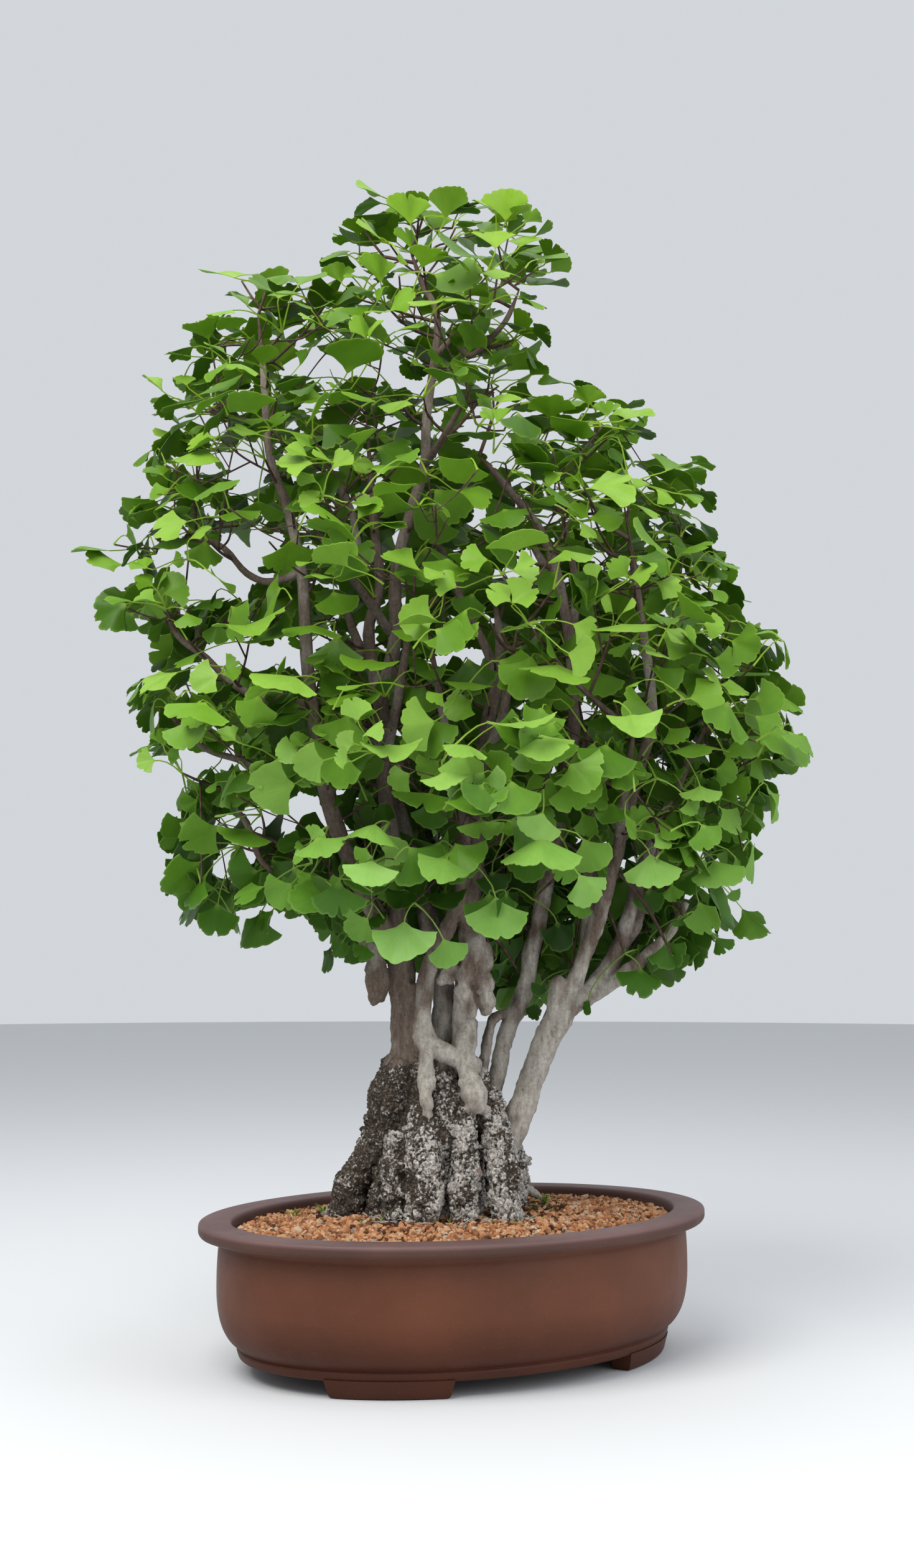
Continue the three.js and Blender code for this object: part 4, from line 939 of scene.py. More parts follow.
def root_threads(rng):
    """Fine pale roots that leave the foot of the base and run over the soil."""
    threads = []
    for _ in range(ROOT_THREADS):
        u, v, _, radius = rng.choice([lobe[-1] for lobe in ROOT_LOBES[1:]])
        angle = math.atan2(v - 4, u + 18) + rng.uniform(-0.9, 0.9)
        turn = rng.uniform(-0.5, 0.5)
        knots = []
        for step in range(4):
            reach = radius * 0.8 + step * rng.uniform(2.5, 6.5)
            x, y = u + reach * math.cos(angle), v + reach * math.sin(angle)
            angle += turn
            height = surface_at(x, y) + rng.uniform(0.2, 2.2) * (step < 3) - 1.5 * (step in (0, 3))
            knots.append([x, y, height, 0.7 - 0.14 * step])
        threads.append(catmull(knots, 3))
    return threads


def surface_at(u, v):
    """The soil's height under a place in the tree's front view, in millimetres."""
    x, y = u * TURN_COS + v * TURN_SIN, -u * TURN_SIN + v * TURN_COS
    return float(soil_height(x, y))


def smoothed(points, mesh, rounds):
    """The points with each moved towards the middle of its neighbours, over and over."""
    ends = mesh_values(mesh.edges, "vertices", 2, int)
    one, other = np.concatenate([ends, ends[:, ::-1]]).T
    neighbours = np.maximum(1, np.bincount(one, minlength=len(points)))
    for _ in range(rounds):
        sums = [np.bincount(one, points[other, k], len(points)) for k in range(3)]
        points = np.stack(sums, axis=1) / neighbours[:, None]
    return points


def add_limb(wood, path, sides):
    """A limb's tube with a little unevenness, young and reddish where it is thin."""
    radii = path[:, 3].copy()
    if sides > 6:
        radii *= [1 + 0.14 * noise.noise(Vector(p[:3]) * 0.09) for p in path]
        if path[0, 2] < SKIN_TOP_Z and path[-1, 2] > SKIN_TOP_Z:
            radii *= 0.6 + 0.4 * np.clip((path[:, 2] - path[0, 2]) / 22, 0, 1)
        radii *= np.clip(np.arange(len(path))[::-1] / 5 + 0.3, 0, 1)
    young = np.clip((3.6 - radii) / 2.0, 0, 1)
    relief = [0.46 + 0.3 * noise.noise(Vector(p[:3]) * 0.03) for p in path]
    add_tube(wood, row(path[:, :3]), radii * MM, sides, rugged=0.0, relief=np.array(relief), young=young)


def clearance(points, paths):
    """How far each point is outside the nearest of the round paths, in millimetres."""
    knots = np.concatenate(paths)
    knots = knots[knots[:, 2] < SKIN_TOP_Z]
    gap = np.full(len(points), 1e9)
    for u, v, z, radius in knots:
        away = np.sqrt(((points - [u, v, z]) ** 2).sum(axis=1)) - radius
        np.minimum(gap, away, out=gap)
    return gap


def ruggedness(local, lobes, stems):
    """1 on the craggy root base and 0 on the smoother stems and burls, with a wavering edge."""
    rugged = np.zeros(len(local))
    low = local[:, 2] < RUGGED_TOP_Z
    points = local[low]
    wave = np.array([noise.noise(Vector(p) * 0.09) + 0.5 * noise.noise(Vector(p) * 0.3) for p in points])
    lead = clearance(points, stems) - clearance(points, lobes)
    fade = (RUGGED_TOP_Z - 12 + 8 * wave - points[:, 2]) / 6
    rugged[low] = np.clip((lead + 1.5 + 4 * wave) / 2.5, 0, 1) * np.clip(fade, 0, 1)
    return rugged


def bark_relief(point, rugged):
    """How far the bark stands out here, in millimetres, and how pale it is, from 0 to 1, with painted shade
    on the craggy base.
    """
    p = Vector(point)
    lump = noise.noise(p * 0.06)
    near = noise.voronoi(p * 0.15 + Vector((0, 0, 0.6)) * lump)[0]
    crack = min(1.0, (near[1] - near[0]) / 0.22)
    small = noise.voronoi(p * 0.4)[0]
    chip = min(1.0, (small[1] - small[0]) / 0.3)
    fine = noise.noise(p * 0.8)
    old = 2.4 * lump + 2.2 * (crack - 0.8) + 0.9 * (chip - 0.6) + 0.5 * fine
    pale_old = 0.1 + 0.34 * crack + 0.14 * chip + 0.2 * lump + 0.1 * fine
    # Painted shade on the craggy base: darker on its left slope and towards its top, paler to the right.
    pale_old += 0.14 * clamp((point[0] + 45) / 25, -1.0) - 0.04 - 0.1 * clamp((point[2] - 170) / 40)
    q = Vector((point[0], point[1], point[2] * 0.3))
    groove = noise.noise(q * 0.16)
    gnarl = 1.1 * noise.noise(p * 0.06) + 0.7 * noise.noise(p * 0.17) + 0.5 * noise.noise(p * 0.35)
    knobbly = 1 - 0.6 * clamp((point[2] - 330) / 60)
    smooth = knobbly * gnarl + 0.6 * groove + 0.4 * noise.noise(q * 0.5) + 0.25 * noise.noise(p * 0.9)
    pale = 0.64 + 0.35 * noise.noise(p * 0.03) + 0.18 * noise.noise(p * 0.1) + 0.25 * groove
    pale -= 0.3 * clamp((point[2] - 290) / 90) + 0.2 * clamp((45 - point[0]) / 20)
    pale += 0.24 * clamp((272 - point[2]) / 20) * clamp((point[0] + 38) / 10)
    return rugged * old + (1 - rugged) * smooth, rugged * pale_old + (1 - rugged) * pale


# ---- Foliage -------------------------------------------------------------------------------------

BLADE_RINGS = ((5, 0.06), (9, 0.38), (17, 0.72), (33, 1.0))
BLADE_THICKNESS = 0.4
BLADE_SHAPES = 60
LEAF_WIDTH = 46


def blade_faces():
    """The blade's triangles: its top, its underside and the rim between them."""
    starts = np.cumsum([0] + [n for n, _ in BLADE_RINGS])
    top = []
    for ring, (n, _) in enumerate(BLADE_RINGS[:-1]):
        for i in range(n - 1):
            a, b = starts[ring] + i, starts[ring] + i + 1
            c = starts[ring + 1] + 2 * i
            top += [(a, c + 1, c), (a, b, c + 1), (b, c + 2, c + 1)]
    count = starts[-1]
    inner, outer = range(starts[0], starts[1]), range(starts[-2], count)
    edge = list(inner) + [s - 1 for s in starts[2:-1]] + list(outer)[::-1] + list(starts[-3:0:-1])
    top, edge = np.array(top), np.array(edge)
    after = np.roll(edge, -1)
    rim = np.concatenate([np.stack([after, edge, edge + count], axis=1),
                          np.stack([after, edge + count, after + count], axis=1)])
    return top, np.concatenate([top, top[:, ::-1] + count, rim])


BLADE_TOP, BLADE_FACES = blade_faces()
BLADE_FAN = np.concatenate([np.linspace(-1, 1, n) for n, _ in BLADE_RINGS])
BLADE_REACH = np.concatenate([np.full(n, reach) for n, reach in BLADE_RINGS])
BLADE_UNDER = np.repeat([0.0, 1.0], len(BLADE_FAN))
BLADE_TIP = len(BLADE_FAN) - (BLADE_RINGS[-1][0] + 1) // 2


def blade_shape(rng, openness):
    """One closed fan blade of unit width: x across, y from the stalk to the margin, z off its upper face."""
    t = BLADE_FAN + rng.uniform(-0.09, 0.09) * (1 - BLADE_FAN ** 2)
    s = BLADE_REACH
    length = rng.uniform(0.6, 0.76)
    corner = 0.66 - 0.52 * openness
    waves, phase = rng.uniform(10, 15), rng.uniform(0, 6.3)
    crenate = 0.045 * (np.abs(np.sin(waves * t + phase)) ** 0.7 - 0.6) + 0.03 * np.sin(4.3 * t + 2 * phase)
    notches = [(rng.uniform(-0.05, 0.05), rng.choice((0.0, 0.1, 0.26, 0.4)), 0.045)]
    notches += [(rng.uniform(0.3, 0.6) * side, rng.choice((0.0, 0.0, 0.07, 0.14)), 0.05) for side in (-1, 1)]
    for middle, depth, width in notches:
        crenate = crenate - depth * np.exp(-((BLADE_FAN - middle) / width) ** 2)
    swell = 1 + crenate * s ** 5
    angle = 1.5 * t
    x_margin = 0.5 * np.sin(angle) / math.sin(1.5) * swell
    y_margin = length * (corner + (1 - corner) * np.cos(angle)) * swell
    x = 2 * s * (1 - s) * 0.22 * x_margin + s ** 2 * x_margin
    y = 2 * s * (1 - s) * (0.24 + 0.2 * np.cos(angle)) * length + s ** 2 * y_margin
    fold, cup = rng.gauss(0.05, 0.16), rng.gauss(0.05, 0.3)
    curl, ripple = rng.uniform(-0.05, 0.45), rng.uniform(0.015, 0.05)
    z = fold * np.abs(x) + cup * x ** 2 - curl * y ** 2
    z = z + ripple * s ** 2 * np.sin(rng.uniform(3.5, 6.5) * t + phase)
    middle = np.stack([x, y, z], axis=1)
    normal = np.zeros_like(middle)
    corners = middle[BLADE_TOP]
    flat = np.cross(corners[:, 1] - corners[:, 0], corners[:, 2] - corners[:, 0])
    for k in range(3):
        np.add.at(normal, BLADE_TOP[:, k], flat)
    normal /= np.linalg.norm(normal, axis=1)[:, None] + 1e-12
    half = 0.5 * BLADE_THICKNESS / LEAF_WIDTH
    return np.concatenate([middle + half * normal, middle - half * normal])


class Leaf:
    """A leaf in the tree's front view: where its stalk and its blade start, and how the blade lies."""

    def __init__(self, shape, foot, neck, along, facing, width, tint):
        self.foot, self.neck = np.asarray(foot, float), np.asarray(neck, float)
        self.along = unit(along)
        across = unit(np.cross(self.along, facing))
        normal = np.cross(across, self.along)
        self.blade = width * shape @ np.stack([across, self.along, normal]) + self.neck
        self.tint = tint

    def stalk(self):
        """The stalk's path, which ends just inside the blade."""
        reach = np.linalg.norm(self.neck - self.foot)
        t = np.linspace(0, 1, 5)[:, None]
        rise = 0.55 * self.foot + 0.45 * self.neck + [0, 0, 0.16 * reach]
        arrive = self.neck - self.along * reach * 0.22
        return ((1 - t) ** 3 * self.foot + 3 * (1 - t) ** 2 * t * rise + 3 * (1 - t) * t ** 2 * arrive
                + t ** 3 * (self.neck + self.along * 2))

    def add_to(self, sheet):
        """Adds the blade and the stalk to a sheet."""
        fan, reach = np.tile(BLADE_FAN, 2), np.tile(BLADE_REACH, 2)
        sheet.add(row(self.blade), BLADE_FACES, tint=self.tint, fan=fan, reach=reach, under=BLADE_UNDER)
        radii = np.array([1.0, 0.7, 0.6, 0.6, 0.6]) * MM
        add_tube(sheet, row(self.stalk()), radii, 3, tint=self.tint, fan=0.5, reach=0.0, under=0.0)


# The crown's outline as the camera sees it on the plane v = 0: u, z, clockwise from the top left.
CROWN_OUTLINE = np.array([
    [-92, 907], [-84, 917], [-61, 932], [-29, 937], [10, 940], [42, 932], [68, 913], [74, 887],
    [97, 877], [84, 854], [48, 850], [36, 834], [68, 824], [68, 798], [45, 788], [74, 774], [96, 775],
    [132, 765], [157, 755], [148, 736], [170, 723], [199, 710], [189, 693], [205, 684], [201, 658],
    [220, 632], [220, 600], [264, 568], [254, 542], [270, 529], [276, 497], [277, 475], [253, 462],
    [246, 427], [233, 402], [233, 377], [223, 358], [217, 317], [198, 327], [185, 305], [154, 286],
    [129, 288], [103, 271], [72, 264], [34, 274], [9, 305], [-19, 305], [-53, 311], [-91, 320],
    [-107, 302], [-100, 339], [-126, 349], [-151, 349], [-160, 327], [-173, 315], [-198, 330],
    [-223, 346], [-242, 358], [-227, 383], [-233, 408], [-218, 434], [-227, 453], [-265, 462],
    [-263, 484], [-244, 497], [-266, 529], [-244, 548], [-235, 574], [-296, 587], [-290, 606],
    [-268, 619], [-271, 645], [-259, 658], [-275, 671], [-256, 690], [-256, 716], [-237, 736],
    [-244, 762], [-225, 775], [-231, 801], [-222, 821], [-190, 841], [-184, 859], [-164, 867],
    [-129, 877], [-103, 877],
])
# Gaps where the background shows through the crown, by the picture's pixels: x, y, half width, half height.
GAPS = [(786, 690, 26, 40), (458, 1300, 48, 26), (392, 1052, 30, 16), (612, 598, 22, 16), (380, 920, 42, 40),
        (592, 1022, 12, 24), (395, 750, 22, 26), (300, 1228, 34, 18), (475, 1050, 26, 18), (300, 930, 22, 26),
        (548, 1330, 14, 14), (745, 1058, 22, 14), (508, 592, 24, 12), (840, 900, 16, 12), (772, 820, 12, 14),
        (395, 1385, 26, 10)]
# Half the crown's depth from front to back at each height: z, half depth.
CROWN_DEPTH = np.array([[260, 70], [340, 112], [420, 150], [520, 170], [640, 168], [740, 145], [820, 110],
                        [900, 76], [960, 30]])
# The lowest that leaves in front of the stems hang: u, z.
FRONT_FLOOR = np.array([[-260, 325], [-160, 335], [-105, 345], [-95, 316], [-40, 318], [10, 330], [55, 340],
                        [60, 396], [100, 398], [105, 364], [128, 370], [136, 382], [180, 385], [186, 328],
                        [256, 330]])
# The leaves that show one by one in the picture, by its pixels: the neck's x and y, the margin's middle x and
# y, the width that shows, and the tone, from 1 (dark and deep in the crown) to 9 (light, in front); the tone
# sets the leaf's depth and its tint, so the tint carries painted shade.
SEEN_LEAVES = np.array([
    # top
    (618, 318, 577, 288, 69, 8), (660, 362, 653, 309, 72, 8), (716, 352, 729, 311, 78, 8),
    (795, 340, 768, 312, 55, 8), (813, 356, 812, 304, 62, 8), (822, 350, 845, 335, 55, 8),
    (614, 387, 578, 350, 77, 8), (660, 400, 650, 365, 45, 6), (690, 365, 722, 385, 50, 6),
    (735, 355, 772, 350, 60, 6), (797, 400, 790, 362, 75, 8), (835, 398, 850, 370, 60, 8),
    (378, 447, 345, 420, 98, 8), (400, 495, 372, 470, 45, 6), (447, 480, 460, 455, 60, 6),
    (478, 460, 512, 430, 80, 6), (500, 497, 503, 480, 68, 6), (512, 520, 480, 502, 50, 8),
    (590, 452, 560, 435, 60, 6), (612, 455, 600, 405, 60, 6), (640, 405, 655, 425, 40, 8),
    (600, 478, 575, 480, 50, 6), (603, 490, 625, 460, 45, 6), (717, 488, 720, 510, 124, 9),
    (797, 432, 808, 462, 72, 8), (805, 400, 825, 430, 50, 6), (575, 535, 535, 530, 40, 8),
    (588, 545, 575, 505, 55, 8), (592, 545, 612, 515, 45, 8), (632, 535, 685, 515, 45, 8),
    (422, 590, 430, 560, 50, 6), (480, 590, 505, 555, 70, 3), (365, 570, 330, 550, 55, 6),
    (300, 572, 265, 565, 35, 7), (300, 620, 293, 598, 38, 8), (262, 630, 230, 605, 56, 8),
    (315, 672, 275, 700, 60, 3), (420, 700, 365, 690, 60, 8), (422, 698, 460, 660, 60, 6),
    (355, 700, 300, 725, 70, 8), (655, 643, 625, 672, 72, 8), (585, 640, 550, 645, 90, 7),
    (575, 718, 597, 697, 60, 8), (745, 655, 712, 640, 50, 8), (805, 647, 815, 620, 66, 8),
    (552, 630, 525, 615, 40, 6), (690, 595, 655, 575, 45, 6), (690, 555, 715, 585, 55, 3),
    (830, 555, 790, 595, 85, 3), (835, 550, 865, 590, 70, 3), (800, 520, 845, 530, 50, 3),
    # upper right
    (947, 652, 935, 628, 63, 8), (1005, 675, 1030, 650, 78, 8), (975, 670, 975, 643, 35, 7),
    (885, 675, 884, 648, 78, 6), (793, 660, 765, 630, 45, 6), (793, 680, 775, 655, 40, 8),
    (797, 682, 825, 655, 42, 8), (765, 696, 766, 688, 95, 6), (1003, 690, 1025, 690, 45, 8),
    (1070, 758, 1107, 740, 80, 6), (870, 780, 823, 752, 42, 8), (947, 785, 1018, 772, 60, 8),
    (930, 760, 925, 785, 45, 6), (1015, 785, 1045, 775, 45, 8), (1053, 785, 1085, 805, 45, 8),
    (1095, 795, 1130, 800, 50, 6), (1060, 815, 1110, 830, 60, 3), (1015, 810, 1060, 828, 50, 8),
    (945, 833, 1003, 828, 60, 6), (947, 832, 915, 812, 45, 6), (930, 838, 960, 865, 45, 8),
    (827, 888, 835, 862, 105, 9), (850, 880, 825, 860, 50, 6), (677, 918, 615, 890, 80, 8),
    (735, 945, 700, 930, 42, 8), (785, 900, 740, 903, 60, 8), (822, 968, 785, 940, 65, 9),
    (822, 970, 862, 945, 60, 9), (823, 918, 865, 907, 40, 8), (960, 930, 945, 905, 40, 8),
    (1010, 928, 980, 900, 45, 8), (1010, 930, 1055, 912, 70, 8), (1053, 935, 1095, 950, 50, 8),
    (1140, 945, 1165, 970, 40, 6), (1105, 880, 1135, 885, 62, 6), (1112, 893, 1075, 870, 60, 3),
    (675, 1003, 676, 995, 85, 8), (575, 835, 610, 800, 70, 8), (603, 838, 655, 845, 45, 8),
    (640, 750, 590, 755, 65, 8), (985, 700, 950, 718, 70, 6), (1000, 750, 985, 720, 30, 3),
    (735, 790, 790, 800, 50, 6), (985, 985, 965, 965, 45, 8), (1000, 985, 1020, 975, 45, 8),
    # left
    (335, 722, 300, 755, 95, 8), (345, 730, 358, 760, 55, 6), (262, 765, 245, 742, 50, 6),
    (275, 785, 240, 800, 40, 6), (300, 790, 248, 825, 45, 6), (238, 820, 205, 835, 48, 6),
    (302, 838, 245, 855, 50, 8), (303, 868, 340, 850, 50, 8), (180, 885, 115, 885, 50, 6),
    (198, 908, 145, 905, 85, 7), (236, 915, 215, 897, 45, 8), (252, 948, 270, 930, 45, 6),
    (262, 955, 300, 935, 35, 6), (247, 943, 218, 925, 48, 6), (252, 968, 215, 965, 45, 7),
    (215, 968, 165, 965, 45, 6), (205, 970, 155, 1000, 40, 3), (215, 985, 190, 1008, 40, 3),
    (300, 985, 307, 1010, 45, 6), (330, 868, 325, 915, 38, 4), (275, 905, 297, 900, 25, 6),
    (340, 922, 365, 940, 70, 8), (325, 965, 350, 985, 60, 3), (397, 1005, 425, 1030, 125, 8),
    (505, 1005, 500, 1025, 95, 6), (490, 1035, 465, 1035, 40, 3), (350, 1000, 345, 1035, 50, 3),
    (330, 1045, 280, 1070, 40, 6), (288, 1080, 225, 1115, 65, 8), (352, 1084, 305, 1100, 65, 8),
    (357, 1085, 390, 1070, 60, 6), (475, 1088, 450, 1115, 115, 8), (467, 868, 455, 900, 95, 7),
    (505, 903, 475, 902, 30, 8), (540, 930, 490, 928, 35, 8), (553, 882, 575, 893, 30, 8),
    (535, 950, 550, 990, 75, 5), (500, 950, 560, 965, 75, 3), (700, 995, 640, 995, 30, 8),
    (657, 1008, 665, 1035, 65, 6), (712, 920, 690, 935, 50, 8), (530, 1050, 490, 1060, 40, 6),
    (560, 1090, 520, 1070, 30, 6), (598, 1060, 590, 1085, 95, 6), (588, 1100, 540, 1103, 28, 8),
    (575, 1160, 565, 1120, 50, 9), (625, 1120, 620, 1090, 45, 3), (712, 1115, 690, 1130, 40, 7),
    (690, 1075, 700, 1095, 50, 5), (505, 745, 443, 742, 32, 9), (495, 735, 460, 718, 22, 9),
    (535, 745, 505, 720, 40, 9), (532, 755, 565, 728, 40, 9), (510, 775, 480, 760, 35, 8),
    (560, 742, 600, 755, 45, 7), (515, 808, 485, 790, 35, 8), (492, 808, 470, 815, 30, 8),
    (555, 808, 615, 815, 60, 8), (605, 840, 655, 843, 25, 8), (415, 805, 415, 822, 85, 6),
    (380, 820, 395, 840, 70, 6),
    # right
    (828, 1008, 845, 1015, 65, 7), (920, 1003, 955, 1020, 60, 8), (1000, 1003, 1005, 1025, 110, 8),
    (1065, 1008, 1105, 1035, 50, 8), (1025, 1035, 1078, 1058, 45, 8), (897, 1068, 878, 1100, 120, 7),
    (912, 1050, 955, 1062, 35, 8), (950, 1075, 960, 1125, 95, 4), (1015, 1148, 1020, 1190, 90, 9),
    (1075, 1170, 1095, 1195, 50, 6), (1115, 1195, 1120, 1222, 100, 6), (1185, 1180, 1210, 1220, 80, 5),
    (1212, 1150, 1262, 1180, 80, 7), (1160, 1107, 1128, 1075, 35, 8), (1155, 1100, 1205, 1115, 50, 7),
    (1212, 1123, 1262, 1125, 65, 5), (1085, 1108, 1120, 1130, 35, 7), (1147, 1058, 1190, 1068, 50, 6),
    (1175, 1030, 1220, 1048, 30, 6), (1200, 1022, 1255, 1030, 40, 6), (1130, 1003, 1165, 1008, 25, 8),
    (1125, 1262, 1125, 1290, 70, 8), (1105, 1285, 1118, 1310, 38, 8), (1158, 1298, 1190, 1340, 55, 7),
    (1203, 1303, 1228, 1330, 25, 4), (1175, 1240, 1190, 1290, 35, 6), (1200, 1240, 1215, 1280, 18, 3),
    (835, 1160, 840, 1180, 112, 9), (868, 1180, 885, 1225, 100, 9), (915, 1228, 955, 1270, 100, 8),
    (893, 1250, 850, 1290, 70, 5), (797, 1248, 815, 1215, 90, 6), (752, 1198, 740, 1222, 75, 9),
    (772, 1318, 775, 1350, 78, 7), (757, 1097, 752, 1115, 82, 6), (760, 1125, 715, 1150, 70, 6),
    (965, 1150, 968, 1180, 55, 3), (1150, 1235, 1185, 1250, 40, 6), (1070, 1240, 1068, 1262, 60, 3),
    # low left
    (262, 1200, 262, 1170, 40, 6), (255, 1192, 208, 1215, 30, 5), (250, 1222, 220, 1230, 50, 8),
    (290, 1218, 270, 1210, 22, 5), (380, 1192, 348, 1177, 42, 8), (350, 1190, 352, 1212, 38, 3),
    (395, 1160, 370, 1172, 25, 3), (480, 1200, 445, 1218, 55, 8), (522, 1222, 470, 1230, 38, 9),
    (487, 1200, 470, 1178, 35, 8), (540, 1180, 505, 1165, 38, 8), (570, 1196, 540, 1185, 25, 9),
    (560, 1225, 538, 1215, 38, 9), (582, 1185, 612, 1158, 25, 9), (630, 1197, 630, 1225, 100, 8),
    (700, 1160, 645, 1170, 62, 7), (434, 1242, 400, 1238, 28, 8), (476, 1260, 400, 1270, 60, 8),
    (500, 1265, 488, 1275, 30, 3), (540, 1270, 520, 1300, 48, 3), (660, 1243, 625, 1262, 50, 6),
    (705, 1222, 675, 1250, 45, 6), (712, 1240, 722, 1270, 82, 9), (690, 1275, 680, 1305, 115, 6),
    (603, 1325, 595, 1350, 92, 8), (590, 1362, 575, 1385, 38, 7), (612, 1363, 660, 1370, 38, 7),
    (600, 1383, 645, 1400, 70, 6), (598, 1382, 590, 1425, 92, 9), (718, 1380, 700, 1420, 90, 8),
    (732, 1355, 755, 1405, 90, 7), (510, 1345, 525, 1380, 85, 8), (500, 1350, 515, 1330, 38, 8),
    (490, 1360, 475, 1365, 25, 6), (490, 1375, 470, 1385, 28, 8), (500, 1405, 482, 1420, 35, 6),
    (548, 1410, 532, 1425, 28, 6), (382, 1305, 345, 1310, 18, 9), (352, 1327, 290, 1358, 50, 7),
    (398, 1332, 385, 1358, 92, 6), (318, 1285, 292, 1298, 32, 5), (298, 1315, 262, 1345, 25, 5),
    (305, 1315, 305, 1338, 32, 5), (345, 1235, 318, 1255, 25, 3), (352, 1255, 330, 1270, 22, 5),
    (322, 1385, 262, 1435, 42, 5), (335, 1400, 300, 1460, 50, 5), (350, 1450, 345, 1505, 60, 4),
    (415, 1400, 370, 1410, 50, 3), (425, 1425, 375, 1448, 48, 7), (470, 1420, 430, 1450, 65, 6),
    (420, 1465, 390, 1525, 40, 3), (440, 1460, 425, 1500, 35, 3), (490, 1350, 445, 1362, 50, 3),
    (592, 1475, 560, 1505, 65, 7), (650, 1480, 648, 1545, 105, 8), (600, 1470, 615, 1488, 42, 3),
    (655, 1430, 645, 1460, 75, 3), (715, 1430, 715, 1462, 70, 3), (712, 1508, 728, 1552, 66, 8),
    (552, 1510, 540, 1540, 28, 3), (533, 1520, 523, 1565, 12, 3), (590, 1520, 575, 1540, 40, 4),
    (622, 1325, 618, 1290, 38, 3), (600, 1275, 580, 1290, 38, 3),
    # low right
    (868, 1345, 868, 1392, 130, 9), (873, 1305, 858, 1350, 72, 9), (937, 1347, 962, 1400, 60, 8),
    (915, 1385, 900, 1420, 48, 6), (930, 1405, 955, 1452, 75, 9), (1045, 1372, 1050, 1428, 92, 8),
    (1148, 1382, 1160, 1425, 88, 7), (1180, 1375, 1197, 1410, 30, 4), (1175, 1430, 1185, 1448, 28, 5),
    (1122, 1448, 1148, 1500, 42, 7), (1150, 1505, 1168, 1530, 32, 4), (1192, 1460, 1238, 1500, 22, 6),
    (1050, 1340, 1080, 1360, 45, 8), (1035, 1320, 1045, 1350, 30, 6), (985, 1290, 975, 1325, 65, 6),
    (1003, 1305, 1020, 1350, 32, 8), (1030, 1330, 1025, 1295, 50, 6), (935, 1305, 955, 1345, 25, 6),
    (935, 1450, 928, 1475, 42, 6), (797, 1440, 800, 1510, 102, 8), (850, 1365, 848, 1420, 80, 3),
    (790, 1400, 800, 1440, 60, 3), (895, 1480, 905, 1530, 55, 1), (1070, 1512, 1090, 1555, 55, 3),
    (1030, 1555, 1020, 1598, 75, 3), (1040, 1515, 1032, 1545, 30, 1), (1045, 1530, 1050, 1562, 32, 1),
    (945, 1605, 944, 1632, 14, 3), (870, 1580, 860, 1600, 30, 1), (862, 1610, 860, 1640, 25, 1),
    (790, 1555, 797, 1580, 22, 1), (1090, 1475, 1092, 1490, 20, 3), (1105, 1470, 1110, 1490, 22, 3),
    (1080, 1420, 1083, 1450, 30, 5), (1095, 1410, 1120, 1435, 50, 3), (1040, 1430, 1050, 1470, 50, 2),
])
FOLIAGE_LOW_Z, FOLIAGE_HIGH_Z = 275, 930
SPUR_TRIES = 9000
SPUR_SPACING = 28
SPUR_INSET = 15
FULL_TURN = 6.28  # the range of the azimuths drawn at random, in radians
OVERHANG = 12  # how far a blade may reach out of the outline
BOX_MARGIN = 12
STALK_REACH = 50
FRONT_DEPTH = 25  # leaves nearer than this count as in front of the stems
STEM_WINDOW = 13
STEM_WINDOW_FLOOR = 470
TWIG_FLOOR = 335
HANGING_BELOW = 400
TWIG_CHOICES = 80


def seen(points):
    """Where points in the tree's front view appear on the plane v = 0, from the camera: [u, z]."""
    p = np.asarray(points, float).reshape(-1, 3)
    scale = VIEW_DISTANCE / (VIEW_DISTANCE + p[:, 1])
    u = VIEW_SHIFT_U + (p[:, 0] - VIEW_SHIFT_U) * scale
    z = VIEW_HEIGHT + (p[:, 2] - VIEW_HEIGHT) * scale
    return np.stack([u, z], axis=1)


def inset(points):
    """How far inside the crown's outline each point appears; less than zero outside."""
    where = seen(points)
    a, b = CROWN_OUTLINE, np.roll(CROWN_OUTLINE, -1, axis=0)
    side = b - a
    rel = where[:, None, :] - a[None]
    t = np.clip((rel * side).sum(2) / (side ** 2).sum(1), 0, 1)
    away = np.linalg.norm(rel - t[:, :, None] * side, axis=2).min(axis=1)
    crosses = (a[:, 1] > where[:, None, 1]) != (b[:, 1] > where[:, None, 1])
    at = a[:, 0] + (where[:, None, 1] - a[:, 1]) * side[:, 0] / np.where(side[:, 1] == 0, 1e-9, side[:, 1])
    inside = (crosses & (where[:, None, 0] < at)).sum(axis=1) % 2 == 1
    return np.where(inside, away, -away)


def in_gap(points):
    """Whether the middle of the points appears in one of the crown's gaps."""
    middle = seen(points).mean(axis=0)
    for x, y, half_width, half_height in GAPS:
        u, _, z = from_picture(x, y, 0)
        if math.hypot((middle[0] - u) / (half_width / 2 + 13), (middle[1] - z) / (half_height / 2 + 11)) < 1:
            return True
    return False


def hides_stem(blade, knots):
    """Whether a blade hangs in front of a stem that shows in the upper crown."""
    middle = seen(blade).mean(axis=0)
    away = np.linalg.norm(knots[:, :2] - middle, axis=1)
    return ((away < STEM_WINDOW) & (blade[:, 1].mean() < knots[:, 2])).any()


def in_box(points):
    """Whether the points keep to the CAD model's box, give or take BOX_MARGIN."""
    place = row(points)
    low, high = (np.array(corner) for corner in cad_box)
    return (place > low - BOX_MARGIN * MM).all() and (place < high + BOX_MARGIN * MM).all()


def fits(blade):
    """Whether a blade stays in the crown, off its gaps, in the box and clear of the stems in front."""
    where = seen(blade)
    if blade[:, 1].mean() < FRONT_DEPTH and (where[:, 1] < np.interp(where[:, 0], *FRONT_FLOOR.T)).any():
        return False
    return inset(blade).min() > -OVERHANG and not in_gap(blade) and in_box(blade)


